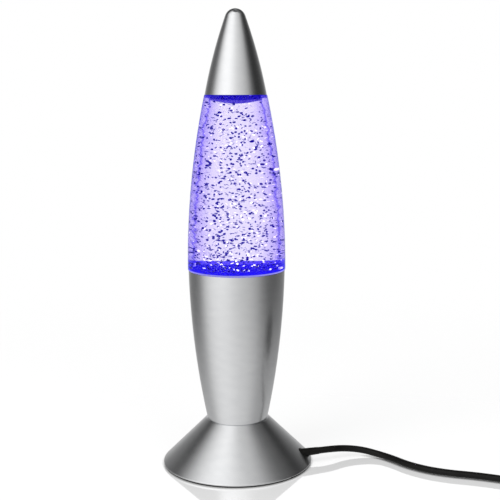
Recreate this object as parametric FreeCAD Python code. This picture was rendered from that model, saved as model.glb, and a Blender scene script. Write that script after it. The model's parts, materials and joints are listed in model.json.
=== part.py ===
import FreeCAD, Part
import math
import os
from FreeCAD import Vector

# Glitter lamp, in millimetres. The lamp's axis is Z, its underside is z = 0, and its front faces -Y.
# The foot and body are spun metal. A glass bottle of tinted liquid and glitter stands in the body
# over a small screw-in reflector bulb, and a metal cap stands on the bottle's shoulder.

# Outside form
total_height = 350.0
waist_height = 36.1
joint_height = 153.8
cap_height = 63.5
rim_radius = 58.2
bead_radius = 0.85
foot_top_radius = 24.1
waist_radius = 23.5
body_mid_radius = 33.0
joint_radius = 37.0
glass_base_radius = 37.55
glass_mid_radius = 34.2
glass_top_radius = 23.75
cap_rim_radius = 23.4
cap_side_radius = 380.0
cap_tip_radius = 8.0

# Metal shells
foot_wall = 1.0
body_wall = 1.0
body_floor = 1.2
cap_wall = 0.8
soft_edge = 0.35
vent_radius = 2.5
vent_circle_radius = 17.0
vent_angles = (60, 90, 120, 240, 270, 300)

# Gaps between pieces
lift_gap = 0.35
seat_gap = 0.1
slip_gap = 0.05

# Bottle and what it holds
bottle_foot_depth = 19.8
glass_wall = 2.4
glass_floor = 4.0
glass_edge_round = 0.6
heel_round = 4.0
hollow_heel_round = 3.0
hollow_side_thickening = 1.15
hollow_base_step = 0.4
shoulder_glass = 2.2
neck_radius = 12.6
neck_bore_radius = 8.8
shoulder_bulge = 1.2
shoulder_middle = 0.62
finish_height = 13.0
lip_ring_radius = 13.3
lip_ring_height = 2.0
liquid_gap = 0.05
liquid_level_above_seam = 19.0
crown_metal = 0.4
crown_skirt_height = 6.0
crown_shoulder = 1.4
crown_edge_round = 1.0
closure_clearance = 3.107
crown_skirt_radius = 14.2
crown_flutes = 21
crown_flute_radius = 0.45
liner_thickness = 0.8
flake_count = 150
flake_size = 1.6
flake_thickness = 0.15
flake_turn = 137.508
flake_height_step = 0.754878
flake_radius_step = 0.569840
flake_tip_step = 47
flake_spin_step = 61
flake_floor_gap = 2.0
flake_top_gap = 3.0
flake_heel_gap = 0.5
flake_wall_share = 1.9

# Underside
pad_thickness = 0.8
pad_inset = 0.8
pad_width = 10.4
plate_thickness = 1.6
plate_vent_radius = 2.2
plate_vent_ring_radii = (14.0, 21.0)
plate_vent_counts = (8, 12)
screw_slot_width = 0.7
screw_slot_depth = 0.7

# Strap and threaded tube that clamp foot, body and lamp holder together
strap_thickness = 1.5
strap_width = 14.0
strap_leg_reach = 17.0
strap_foot_reach = 33.0
strap_bend = 2.2
tube_radius = 5.0
tube_bore_radius = 3.6
tube_above_floor = 4.6
tube_below_nut = 1.2
nut_across_flats = 14.0
nut_thickness = 3.0
washer_thickness = 1.0
washer_radius = 8.0
washer_notches = 12
washer_notch_radius = 0.6
plate_screw_radius = 1.5
plate_screw_head_radius = 2.75
plate_screw_reach = 27.0

# Lamp holder
contact_above_floor = 18.7
holder_radius = 13.8
holder_neck_radius = 12.4
holder_dome_height = 15.2
holder_neck_height = 5.5
holder_bottom = 5.0
holder_cavity_radius = 10.5
holder_foot_round = 1.2
holder_rim_round = 0.8
insert_flange_thickness = 1.0
insert_thickness = 3.0
insert_boss_radius = 3.2
holder_above_contact = 17.0
leaf_tip_share = 0.8
leaf_tip_drop = 0.4
leaf_thickness = 0.5
leaf_width = 4.0
terminal_reach = 6.0
terminal_width = 5.0
terminal_depth = 4.0
terminal_height = 3.4
terminal_screw_radius = 1.2
terminal_head_radius = 1.62
terminal_head_height = 1.2
terminal_bore_roof = 1.0

# Screw thread shared by bulb and holder
thread_pitch = 2.822
thread_root_radius = 6.15
thread_crest_radius = 6.92
thread_turns = 3.0
thread_start = 5.4
thread_play = 0.24
shell_wall = 0.5
socket_ridge_foot = 0.95
socket_ridge_crest = 0.3
bulb_ridge_foot = 1.15
bulb_ridge_crest = 0.35
bulb_ridge_root = 0.8
shell_start = 2.0
shell_end = 15.5

# Reflector bulb
bulb_length = 67.0
bulb_radius = 19.5
bulb_wall = 0.9
bulb_neck_radius = 5.5
bulb_neck_depth = 8.0
bulb_cement = 0.4
bulb_widest_share = 0.73
bulb_rim_shares = (0.79, 0.895)
bulb_lower_side_shares = (0.72, 0.475)
bulb_upper_side_shares = (0.962, 0.828)
bulb_cap_bottom = 4.4
bulb_cap_top = 21.0
bulb_cap_wall = 0.55
bulb_collar_radius = 6.75
bulb_collar_step = 0.6
bulb_insulator_depth = 2.0
bulb_insulator_edge = 0.4
solder_bulge = (0.72, 0.3)
solder_gap = 0.1
bulb_tip_radius = 2.4
bulb_tip_height = 1.6
stem_radius = 1.6
stem_height = 34.0
stem_flange = 1.6
filament_height = 40.0
filament_reach = 4.5
filament_radius = 0.35

# Mains lead
cord_radius = 2.6
exit_height = 8.0
exit_bearing = -5.332
exit_set_out = 0.526
exit_angle = 20.0
relief_outside = 12.0
relief_inside = 12.0
relief_wall_radius = 3.2
relief_tip_radius = 2.8
relief_lip_radius = 3.7
relief_lip = 0.6
relief_flange_radius = 5.0
relief_flange = 1.2
lead_spread = 1.15
lead_gap = 0.25
lead_radius = 1.05
clamp_length = 6.0
clamp_screw_reach = 7.5
clamp_screw_radius = 1.3
clamp_bar = 2.2
clamp_head_radius = 2.6
clamp_head_height = 1.4
tail_reach = 13.2

# Route of the lead on the table, chosen to follow the photographed curve, then around the coil.
# A straight run leads out of and into every fitting and both ends of the coil.
exit_run = 10.4
lead_route = (
    (85.5, 9.5, 6.3),
    (99.3, 10.5, 4.7),
    (112.1, 5.7, 2.7),
    (122.1, -3.9, 2.6),
    (132.8, -17.6, 2.6),
    (147.0, -28.5, 2.6),
    (162.5, -35.3, 2.6),
    (179.0, -39.5, 2.6),
    (196.0, -45.6, 2.6),
    (213.0, -53.4, 2.6),
    (231.0, -61.5, 2.6),
    (250.0, -69.2, 2.6),
    (270.0, -74.0, 2.6),
    (289.0, -73.5, 2.6),
    (305.5, -67.0, 2.9),
    (317.5, -56.0, 4.3),
)
switch_run = 15.5
coil_run = 14.8
coil_route = (
    (319.5, 55.2, 6.1),
    (307.9, 64.2, 4.7),
    (292.7, 67.1, 3.5),
    (275.3, 62.0, 2.6),
)
coil_end_run = 14.5
coil_exit_run = 13.8
plug_route = (
    (247.8, -44.5, 8.35),
    (262.5, -47.9, 9.0),
    (277.0, -44.3, 11.8),
    (287.7, -34.5, 16.0),
)
plug_run = 13.1

# Coil of put-away lead, two layers: inward on the table, then outward on top
coil_centre = (264.0, 0.0)
coil_outer_radius = 40.0
coil_pitch = 5.75
coil_start_angle = 122.0
coil_end_angle = 208.0
coil_whole_turns = 6
knots_per_turn = 4
coil_samples_per_turn = 240
coil_climb_turns = 0.25

# Flat tie around the coil
tie_angle = 180.0
tie_width = 8.0
tie_thickness = 0.6
tie_gap = 0.05
tie_press = 0.5

# Rocker switch in the lead
switch_centre = (326.0, 2.0)
switch_length = 60.0
switch_width = 22.0
switch_end_width = 12.0
switch_shoulder = 17.0
switch_end_round = 2.4
switch_foot_round = 1.2
switch_top_round = 1.8
switch_height = 15.0
switch_split = 7.0
switch_wall = 1.6
end_wall = 4.8
rocker_width = 11.0
rocker_swing_radius = 10.2
rocker_gap = 0.3
rocker_pivot_height = 11.8
rocker_pin_radius = 1.5
rocker_pin_reach = 7.0
pivot_post_half = 3.2
pivot_post_drop = 2.6
pivot_post_wall = 1.2
rocker_top_height = 16.0
rocker_dish = 1.2
rocker_body_depth = 1.2
rocker_rest_tilt = 10.0
plunger_radius = 1.0
plunger_reach = 4.75
plunger_sleeve_radius = 1.8
plunger_sleeve_depth = 3.0
plunger_stem = 1.2
spring_pocket = 1.5
spring_wire_radius = 0.15
spring_coils = 4
seesaw_pivot_height = 5.0
seesaw_length = 15.0
seesaw_width = 4.0
seesaw_thickness = 0.8
seesaw_rest_tilt = -7.0
cheek_half_length = 1.5
cheek_thickness = 0.5
cheek_rise = 0.8
tip_radius = 1.2
tip_height = 0.4
tip_inset = 1.4
strip_thickness = 0.8
knife_half = 1.6
lug_near = 12.0
lug_far = 17.5
lug_half_width = 2.6
lug_below_split = 0.5
lug_bore_below_split = 3.0
lug_bore_radius = 1.0
contact_gap = 0.1
case_screw_radius = 1.25
case_screw_head_radius = 2.4
case_screw_reach = 15.5
case_screw_offset = 5.6
case_screw_sink = 2.2
case_screw_bite = 4.5
case_screw_tip_gap = 0.5
case_screw_head_recess = 0.6
case_boss_radius = 2.75
switch_core_radius = 0.9

# Mains plug, lying on the coil
plug_axis_x = 293.0
plug_face_y = 42.0
plug_centre_height = 17.85
plug_width = 35.3
plug_waist_width = 27.0
plug_rear_width = 13.0
plug_length = 35.0
plug_thickness = 13.7
plug_rear_thickness = 10.0
plug_tail_length = 16.0
plug_tail_radius = 4.4
plug_tail_end_radius = 3.2
plug_edge_round = 1.5
plug_corner_round = 2.0
plug_flat_share = 0.3
plug_bend_share = 0.45
plug_waist_share = 0.6
plug_rear_bend_share = 0.85
plug_bend_bulge = 0.3
plug_rear_bulge = 2.2
plug_taper_share = 0.55
tail_groove_start = 2.5
tail_groove_pitch = 3.2
tail_groove_width = 1.2
tail_groove_count = 4
tail_groove_half = 2.0
tail_groove_out = 3.0
tail_core_wall = 0.35
pin_radius = 2.0
pin_length = 19.0
pin_spacing = 19.0
pin_sleeve_length = 10.0
pin_sleeve_radius = 1.8
pin_core_radius = 1.4
pin_buried = 8.0

# Places worked out from the sizes above
seam_height = total_height - cap_height
pad_outer_radius = rim_radius - pad_inset
pad_inner_radius = pad_outer_radius - pad_width
plate_bottom = pad_thickness
plate_top = plate_bottom + plate_thickness
floor_top = waist_height + body_floor
foot_ceiling = waist_height - foot_wall
contact_height = floor_top + contact_above_floor
bottle_bottom = joint_height - bottle_foot_depth
dome_top = floor_top + holder_dome_height
holder_top = contact_height + holder_above_contact
bulb_top = contact_height + bulb_length
socket_root_radius = thread_crest_radius + thread_play
socket_crest_radius = thread_root_radius + thread_play
socket_outer_radius = socket_root_radius + shell_wall
strap_top = foot_ceiling
strap_underside = strap_top - strap_thickness
washer_bottom = strap_underside - washer_thickness
nut_bottom = washer_bottom - nut_thickness
tube_bottom = nut_bottom - tube_below_nut
layer_height = coil_pitch
coil_turns = coil_whole_turns + (coil_end_angle - coil_start_angle) / 360


def length_and_angle(a, b):
    return math.hypot(b[0] - a[0], b[1] - a[1]), math.atan2(b[1] - a[1], b[0] - a[0])


def circle_through(a, b, c):
    """Centre (r, z) and radius of the circle through three (r, z) points."""
    d = 2 * (a[0] * (b[1] - c[1]) + b[0] * (c[1] - a[1]) + c[0] * (a[1] - b[1]))
    qa, qb, qc = (p[0] ** 2 + p[1] ** 2 for p in (a, b, c))
    r = (qa * (b[1] - c[1]) + qb * (c[1] - a[1]) + qc * (a[1] - b[1])) / d
    z = (qa * (c[0] - b[0]) + qb * (a[0] - c[0]) + qc * (b[0] - a[0])) / d
    return (r, z), math.hypot(a[0] - r, a[1] - z)


def radius_at(circle, z, inward=0.0):
    """Radius from the lamp's axis of a bulging wall's circle at a height, moved inward."""
    (r, height), size = circle
    return r + math.sqrt((size - inward) ** 2 - (z - height) ** 2)


def height_at(circle, radius, inward=0.0):
    """Height above the circle's centre at which a bulging wall, moved inward, has a radius."""
    (r, height), size = circle
    return height + math.sqrt((size - inward) ** 2 - (radius - r) ** 2)


def on_circle(circle, z, inward=0.0):
    return (radius_at(circle, z, inward), z)


def arc_to(circle, z_from, z_to, inward=0.0):
    """Middle and end point of the wall's arc between two heights."""
    return (on_circle(circle, (z_from + z_to) / 2, inward), on_circle(circle, z_to, inward))


def corner_arc(a, corner, b):
    """Middle and end point of a quarter-like arc that rounds a corner from a to b."""
    mid = ((a[0] + b[0]) / 2, (a[1] + b[1]) / 2)
    reach = length_and_angle(corner, mid)[0]
    half = length_and_angle(a, mid)[0]
    side = length_and_angle(corner, a)[0]
    share = 1 / (1 + half / side)
    return ((corner[0] + (mid[0] - corner[0]) * share, corner[1] + (mid[1] - corner[1]) * share), b)


def outline(start, steps):
    """A closed wire in the XZ plane. A step is one end point, or an arc's middle and end points."""
    here = Vector(start[0], 0, start[1])
    first = here
    edges = []
    for step in steps:
        points = [Vector(r, 0, z) for r, z in step]
        if len(points) == 1:
            edges.append(Part.LineSegment(here, points[0]).toShape())
        else:
            edges.append(Part.Arc(here, points[0], points[1]).toShape())
        here = points[-1]
    if (here - first).Length > 1e-6:
        edges.append(Part.LineSegment(here, first).toShape())
    return Part.Wire(edges)


def spun(start, *steps):
    """A solid of revolution about the lamp's axis."""
    return Part.Face(outline(start, steps)).revolve(Vector(0, 0, 0), Vector(0, 0, 1), 360)


def disc(radius, z_from, z_to, x=0.0, y=0.0):
    return Part.makeCylinder(radius, z_to - z_from, Vector(x, y, z_from))


def ring(outer, inner, z_from, z_to):
    return disc(outer, z_from, z_to).cut(disc(inner, z_from, z_to))


def block(x_from, x_to, y_from, y_to, z_from, z_to):
    corner = Vector(x_from, y_from, z_from)
    return Part.makeBox(x_to - x_from, y_to - y_from, z_to - z_from, corner)


def screw_slot(x, y, head_radius, z_from, z_to):
    """What a screwdriver slot across a screw's head takes away."""
    half = screw_slot_width / 2
    return block(x - head_radius, x + head_radius, y - half, y + half, z_from, z_to)


def rod(start, end, radius, end_radius=None):
    """A round bar, or a tapered one, between two points."""
    start, end = Vector(*start), Vector(*end)
    along = end - start
    if end_radius is None:
        return Part.makeCylinder(radius, along.Length, start, along)
    return Part.makeCone(radius, end_radius, along.Length, start, along)


def polar(radius, angle):
    return radius * math.cos(math.radians(angle)), radius * math.sin(math.radians(angle))


def turned(shape, angle, about=(0.0, 0.0, 0.0), axis=(0, 0, 1)):
    result = shape.copy()
    result.rotate(Vector(*about), Vector(*axis), angle)
    return result


def moved(shape, x, y, z):
    result = shape.copy()
    result.translate(Vector(x, y, z))
    return result


def tube_along(points, radius):
    """A tube along straight runs joined by tangent arcs, and the arcs' radii."""
    points = [Vector(*p) for p in points]
    edges = []
    radii = []
    here = points[0]
    for before, corner, after in zip(points, points[1:], points[2:]):
        back, ahead = before - corner, after - corner
        shorter = min(back.Length, ahead.Length)
        back.normalize()
        ahead.normalize()
        cut = 0.45 * shorter
        half_turn = (math.pi - back.getAngle(ahead)) / 2
        arc_from, arc_end = corner + back * cut, corner + ahead * cut
        middle = (arc_from + arc_end) * 0.5
        arc_mid = corner + (middle - corner) * (1 / (1 + math.cos(half_turn)))
        edges.append(Part.LineSegment(here, arc_from).toShape())
        edges.append(Part.Arc(arc_from, arc_mid, arc_end).toShape())
        radii.append(cut / math.tan(half_turn))
        here = arc_end
    edges.append(Part.LineSegment(here, points[-1]).toShape())
    path = Part.Wire(edges)
    profile = Part.Wire(Part.makeCircle(radius, points[0], points[1] - points[0]))
    return path.makePipeShell([profile], True, False), radii, path.Length


def checked_tube(name, points, radius):
    """A cord's tube. Prints its tightest bend, and its volume against section times length."""
    tube, radii, length = tube_along(points, radius)
    share = tube.Volume / (math.pi * radius**2 * length)
    bends = " ".join(f"{r:.0f}" for r in radii)
    print(f"{name}: length {length:.1f}, radii {bends}, volume share {share:.4f}")
    return tube


def bent_strip(points, thickness, width, bend):
    """A strip of sheet metal whose middle line runs through (x, z) points, centred on y = 0."""
    def offset_line(side):
        steps = []
        for before, corner, after in zip(points, points[1:], points[2:]):
            _, into = length_and_angle(before, corner)
            _, out = length_and_angle(corner, after)
            turn = math.remainder(out - into, 2 * math.pi)
            cut = bend * math.tan(abs(turn) / 2)
            left = math.copysign(1, turn)
            centre = (
                corner[0] - cut * math.cos(into) - left * bend * math.sin(into),
                corner[1] - cut * math.sin(into) + left * bend * math.cos(into),
            )
            size = bend - left * side
            facing = [a - left * math.pi / 2 for a in (into, into + turn / 2, into + turn)]
            steps.append([(centre[0] + size * math.cos(a), centre[1] + size * math.sin(a)) for a in facing])
        return steps

    def end_point(here, there, at, side):
        _, angle = length_and_angle(here, there)
        return (at[0] - side * math.sin(angle), at[1] + side * math.cos(angle))

    half = thickness / 2
    start = end_point(points[0], points[1], points[0], half)
    steps = []
    for begin, middle, end in offset_line(half):
        steps += [(begin,), (middle, end)]
    steps.append((end_point(points[-2], points[-1], points[-1], half),))
    steps.append((end_point(points[-2], points[-1], points[-1], -half),))
    for begin, middle, end in reversed(offset_line(-half)):
        steps += [(end,), (middle, begin)]
    steps.append((end_point(points[0], points[1], points[0], -half),))
    sheet = Part.Face(outline(start, steps)).extrude(Vector(0, width, 0))
    return moved(sheet, 0, -width / 2, 0)


def helical_ridge(section, turns, start):
    """A ridge of a closed (r, z) section swept along a right-handed helix that starts at a height."""
    radius = section[0][0]
    helix = Part.Wire(Part.makeHelix(thread_pitch, thread_pitch * turns, radius).Edges)
    points = [Vector(r, 0, z) for r, z in section]
    sweep = Part.BRepOffsetAPI.MakePipeShell(helix)
    sweep.setFrenetMode(True)
    sweep.add(Part.makePolygon(points + points[:1]))
    sweep.build()
    sweep.makeSolid()
    return moved(sweep.shape(), 0, 0, start)


def rounded_at(shape, z, radius):
    """The shape with the edges that lie flat at one height rounded."""
    flat = [e for e in shape.Edges if all(abs(v.Z - z) < 1e-6 for v in e.Vertexes)]
    flat = [e for e in flat if abs(e.BoundBox.ZMin - z) < 1e-4 and abs(e.BoundBox.ZMax - z) < 1e-4]
    return shape.makeFillet(radius, flat)


pieces = {}


def keep(name, *solids):
    """Stores a named piece. Several separate solids make a group of identical pieces."""
    pieces[name] = solids[0] if len(solids) == 1 else Part.makeCompound(list(solids))


# Circles of the bulging walls
body_circle = circle_through(
    (waist_radius, waist_height),
    (body_mid_radius, (waist_height + joint_height) / 2),
    (joint_radius, joint_height),
)
glass_base_height = joint_height + glass_edge_round
glass_circle = circle_through(
    (glass_base_radius, glass_base_height),
    (glass_mid_radius, (glass_base_height + seam_height) / 2),
    (glass_top_radius, seam_height),
)
bottle_lip_radius = radius_at(body_circle, joint_height, body_wall) - lift_gap
bottle_heel_radius = radius_at(body_circle, bottle_bottom, body_wall) - lift_gap - seat_gap


# Foot
bead_centre = (rim_radius - bead_radius, plate_bottom + bead_radius)
foot_edge = (foot_top_radius, waist_height)
edge_distance, edge_angle = length_and_angle(bead_centre, foot_edge)
foot_normal = edge_angle - math.acos(bead_radius / edge_distance)


def foot_line(inward):
    """The foot's sloping line, moved inward: its low end at the bead and its (r, z) at the top."""
    nr, nz = math.cos(foot_normal), math.sin(foot_normal)
    low = (bead_centre[0] + (bead_radius - inward) * nr, bead_centre[1] + (bead_radius - inward) * nz)
    return low, (nr, nz)


def foot_radius_at(z, inward=0.0):
    low, (nr, nz) = foot_line(inward)
    return low[0] - (z - low[1]) * nz / nr


def foot_layer(outside, inside):
    """A conical skin that lies on the foot's slope, between two offsets inward of it."""
    z_low, z_high = plate_top, foot_ceiling
    return spun(
        (foot_radius_at(z_low, outside), z_low),
        ((foot_radius_at(z_high, outside), z_high),),
        ((foot_radius_at(z_high, inside), z_high),),
        ((foot_radius_at(z_low, inside), z_low),),
    )


exit_x, exit_y = polar(foot_radius_at(exit_height) + exit_set_out, exit_bearing)


def relief_axis(distance):
    """A point on the lead's axis through the foot's wall, a distance outside the wall."""
    dx, dy = polar(distance, exit_angle)
    return (exit_x + dx, exit_y + dy, exit_height)


def vents(z_from, z_to):
    places = [polar(vent_circle_radius, exit_angle + a) for a in vent_angles]
    return [disc(vent_radius, z_from, z_to, x, y) for x, y in places]


def foot_shell():
    wall_low, _ = foot_line(foot_wall)
    shell = spun(
        foot_line(0.0)[0],
        ((foot_radius_at(waist_height - soft_edge), waist_height - soft_edge),),
        corner_arc(
            (foot_radius_at(waist_height - soft_edge), waist_height - soft_edge),
            foot_edge,
            (foot_top_radius - soft_edge / math.sin(foot_normal), waist_height),
        ),
        ((tube_radius + seat_gap, waist_height),),
        ((tube_radius + seat_gap, foot_ceiling),),
        ((foot_radius_at(foot_ceiling, foot_wall), foot_ceiling),),
        (wall_low,),
    )
    bead = Part.makeTorus(bead_centre[0], bead_radius, Vector(0, 0, bead_centre[1]))
    hole = rod(relief_axis(-relief_inside), relief_axis(relief_outside), relief_wall_radius + seat_gap)
    return shell.fuse(bead).cut([hole] + vents(foot_ceiling, waist_height)).removeSplitter()


def body_shell():
    inner_lip = on_circle(body_circle, joint_height, body_wall)
    outer_top = on_circle(body_circle, joint_height - soft_edge)
    shell = spun(
        (waist_radius - soft_edge, waist_height),
        corner_arc(
            (waist_radius - soft_edge, waist_height),
            (waist_radius, waist_height),
            on_circle(body_circle, waist_height + soft_edge),
        ),
        arc_to(body_circle, waist_height + soft_edge, joint_height - soft_edge),
        corner_arc(outer_top, (joint_radius, joint_height), (joint_radius - soft_edge, joint_height)),
        (inner_lip,),
        arc_to(body_circle, joint_height, floor_top, body_wall),
        ((tube_radius + seat_gap, floor_top),),
        ((tube_radius + seat_gap, waist_height),),
    )
    return shell.cut(vents(waist_height, floor_top))


# Underside
def base_pad():
    return ring(pad_outer_radius, pad_inner_radius, 0, pad_thickness)


def strap_screw_places():
    return [polar(plate_screw_reach, exit_angle + side) for side in (0, 180)]


def clamp_frame(shape):
    """Turns a clamp piece, built at the lead's axis with X along it, into its place in the foot."""
    middle = relief_axis(-relief_inside - clamp_length)
    return moved(turned(shape, exit_angle), middle[0], middle[1], 0)


def base_plate():
    plate = disc(rim_radius - 2 * bead_radius - 2 * seat_gap, plate_bottom, plate_top)
    for radius, count in zip(plate_vent_ring_radii, plate_vent_counts):
        holes = [polar(radius, 360 * (i + 0.5) / count + exit_angle) for i in range(count)]
        plate = plate.cut([disc(plate_vent_radius, plate_bottom, plate_top, x, y) for x, y in holes])
    for x, y in strap_screw_places():
        sink = Part.makeCone(
            plate_screw_head_radius + slip_gap,
            plate_screw_radius + slip_gap,
            plate_thickness,
            Vector(x, y, plate_bottom),
        )
        plate = plate.cut(sink)
    rest_top = exit_height - cord_radius
    bosses = block(
        -clamp_length / 2, clamp_length / 2,
        -clamp_screw_reach - clamp_bar, clamp_screw_reach + clamp_bar,
        plate_top, rest_top,
    )
    for side in (-1, 1):
        bosses = bosses.cut(disc(clamp_screw_radius, plate_top, rest_top, 0, side * clamp_screw_reach))
    return plate.fuse(clamp_frame(bosses))


def plate_screws():
    screws = []
    for x, y in strap_screw_places():
        foot = Vector(x, y, plate_bottom)
        head = Part.makeCone(plate_screw_head_radius, plate_screw_radius, plate_thickness, foot)
        shank = disc(plate_screw_radius, plate_top, plate_top + strap_thickness + plate_thickness, x, y)
        slot = screw_slot(x, y, plate_screw_head_radius, plate_bottom, plate_bottom + screw_slot_depth)
        screws.append(head.fuse(shank).cut(slot))
    return screws


def strap_bracket():
    low = plate_top + strap_thickness / 2
    high = strap_top - strap_thickness / 2
    strip = bent_strip(
        [
            (-strap_foot_reach, low),
            (-strap_leg_reach, low),
            (-strap_leg_reach, high),
            (strap_leg_reach, high),
            (strap_leg_reach, low),
            (strap_foot_reach, low),
        ],
        strap_thickness,
        strap_width,
        strap_bend,
    )
    holes = [disc(tube_radius + seat_gap, strap_underside, strap_top)]
    for s in (-1, 1):
        holes.append(disc(plate_screw_radius, plate_top, plate_top + strap_thickness, s * plate_screw_reach, 0))
    return turned(strip.cut(holes), exit_angle)


def threaded_tube():
    return ring(tube_radius, tube_bore_radius, tube_bottom, floor_top + tube_above_floor)


def hex_nut():
    corner = nut_across_flats / math.sqrt(3)
    points = [Vector(*polar(corner, 60 * i), nut_bottom) for i in range(7)]
    nut = Part.Face(Part.makePolygon(points)).extrude(Vector(0, 0, nut_thickness))
    chamfer = spun(
        (0, nut_bottom),
        ((nut_across_flats / 2, nut_bottom),),
        ((corner, nut_bottom + (corner - nut_across_flats / 2) / 2),),
        ((corner, washer_bottom),),
        ((0, washer_bottom),),
    )
    return nut.common(chamfer).cut(disc(tube_radius, nut_bottom, washer_bottom))


def lock_washer():
    washer = ring(washer_radius, tube_radius + seat_gap, washer_bottom, strap_underside)
    notches = []
    for i in range(washer_notches):
        x, y = polar(washer_radius, 360 * i / washer_notches)
        notches.append(disc(washer_notch_radius, washer_bottom, strap_underside, x, y))
    return washer.cut(notches)


# Lamp holder
insert_bottom = dome_top - insert_thickness
insert_top = dome_top + insert_flange_thickness
terminal_bottom = insert_bottom - terminal_height


def holder_dome():
    step_z = dome_top - holder_neck_height
    inner_bottom = floor_top + holder_bottom
    return spun(
        (tube_radius, floor_top),
        ((holder_radius - holder_foot_round, floor_top),),
        corner_arc(
            (holder_radius - holder_foot_round, floor_top),
            (holder_radius, floor_top),
            (holder_radius, floor_top + holder_foot_round),
        ),
        ((holder_radius, step_z),),
        ((holder_neck_radius, step_z),),
        ((holder_neck_radius, dome_top),),
        ((holder_cavity_radius, dome_top),),
        ((holder_cavity_radius, inner_bottom),),
        ((tube_radius, inner_bottom),),
    )


def holder_insert():
    body = disc(holder_cavity_radius - 2 * slip_gap, insert_bottom, insert_top)
    flange = disc(holder_neck_radius - 2 * slip_gap, dome_top, insert_top)
    slot_half = leaf_width / 2 + slip_gap
    slots = []
    for x_from, x_to in (
        (-terminal_reach - leaf_thickness / 2, -terminal_reach + 1.5 * leaf_thickness),
        (socket_root_radius - shell_wall, socket_outer_radius),
    ):
        near, far = x_from - slip_gap, x_to + slip_gap
        slots.append(block(near, far, -slot_half, slot_half, insert_bottom, insert_top))
    return turned(body.fuse(flange).cut(slots).removeSplitter(), exit_angle)


def holder_skirt():
    step_z = dome_top - holder_neck_height
    return spun(
        (holder_neck_radius + slip_gap, step_z),
        ((holder_radius, step_z),),
        ((holder_radius, holder_top - holder_rim_round),),
        corner_arc(
            (holder_radius, holder_top - holder_rim_round),
            (holder_radius, holder_top),
            (holder_radius - holder_rim_round, holder_top),
        ),
        ((socket_outer_radius + 2 * slip_gap, holder_top),),
        ((socket_outer_radius + 2 * slip_gap, insert_top),),
        ((holder_neck_radius + slip_gap, insert_top),),
    )


def socket_shell():
    low, high = contact_height + shell_start, contact_height + shell_end
    start = contact_height + thread_start - thread_pitch / 2
    section = [
        (socket_root_radius + shell_wall / 2, -socket_ridge_foot),
        (socket_crest_radius, -socket_ridge_crest),
        (socket_crest_radius, socket_ridge_crest),
        (socket_root_radius + shell_wall / 2, socket_ridge_foot),
    ]
    ridge = helical_ridge(section, thread_turns + 0.5, start)
    foot = insert_bottom - slip_gap
    tab = disc(socket_outer_radius, foot, low).common(
        block(0, socket_outer_radius, -leaf_width / 2, leaf_width / 2, foot, low)
    )
    outside = disc(socket_outer_radius, low, high).fuse(tab)
    threaded_bore = disc(socket_root_radius, foot, high).cut(ridge)
    return turned(outside.cut(threaded_bore), exit_angle)


def centre_contact():
    top = contact_height - contact_gap - leaf_thickness / 2
    low = insert_top + leaf_thickness / 2
    leaf = bent_strip(
        [
            (-terminal_reach, insert_bottom - slip_gap),
            (-terminal_reach, low),
            (-insert_boss_radius, low),
            (-0.5 * insert_boss_radius, top),
            (leaf_tip_share * insert_boss_radius, top - leaf_tip_drop),
        ],
        leaf_thickness,
        leaf_width,
        leaf_thickness,
    )
    return turned(leaf, exit_angle)


def terminals():
    blocks = []
    screws = []
    wide, deep = terminal_width / 2, terminal_depth / 2
    front = -deep - terminal_head_height
    for side in (-1, 1):
        x = side * terminal_reach
        piece = block(x - wide, x + wide, -deep, deep, terminal_bottom, insert_bottom - slip_gap)
        piece = piece.cut(disc(lead_radius, terminal_bottom, insert_bottom - terminal_bore_roof, x, 0))
        middle = (terminal_bottom + insert_bottom) / 2
        shank = rod((x, -deep, middle), (x, -lead_radius, middle), terminal_screw_radius)
        piece = piece.cut(shank)
        head = rod((x, front, middle), (x, -deep, middle), terminal_head_radius)
        half_slot = screw_slot_width / 2
        slot = block(
            x - terminal_head_radius, x + terminal_head_radius,
            front, front + screw_slot_depth,
            middle - half_slot, middle + half_slot,
        )
        blocks.append(turned(piece, exit_angle))
        screws.append(turned(head.fuse(shank).cut(slot), exit_angle))
    return blocks, screws


# Reflector bulb
def bulb_z(height):
    return contact_height + height


def bulb_screw_cap():
    low, high = bulb_z(bulb_cap_bottom), bulb_z(bulb_cap_top)
    collar = bulb_z(shell_end + bulb_collar_step / 2)
    inner = thread_root_radius - bulb_cap_wall
    core = spun(
        (0, low),
        ((thread_root_radius, low),),
        ((thread_root_radius, collar),),
        ((bulb_collar_radius, collar + bulb_collar_step),),
        ((bulb_collar_radius, high),),
        ((0, high),),
    )
    start = bulb_z(thread_start)
    section = [
        (thread_root_radius - bulb_ridge_root, -bulb_ridge_foot),
        (thread_crest_radius, -bulb_ridge_crest),
        (thread_crest_radius, bulb_ridge_crest),
        (thread_root_radius - bulb_ridge_root, bulb_ridge_foot),
    ]
    return core.fuse(helical_ridge(section, thread_turns, start)).cut(disc(inner, low, high))


def bulb_insulator():
    inner = thread_root_radius - bulb_cap_wall
    return spun(
        (0, bulb_z(bulb_tip_height)),
        ((bulb_tip_radius + bulb_insulator_edge, bulb_z(bulb_tip_height)),),
        ((inner - bulb_insulator_edge, bulb_z(bulb_cap_bottom)),),
        ((inner, bulb_z(bulb_cap_bottom)),),
        ((inner, bulb_z(bulb_cap_bottom + bulb_insulator_depth)),),
        ((0, bulb_z(bulb_cap_bottom + bulb_insulator_depth)),),
    )


def bulb_contact():
    share, rise = solder_bulge
    top = bulb_z(bulb_tip_height - solder_gap)
    return spun(
        (0, bulb_z(0)),
        ((share * bulb_tip_radius, bulb_z(rise)), (bulb_tip_radius, top)),
        ((0, top),),
    )


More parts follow.
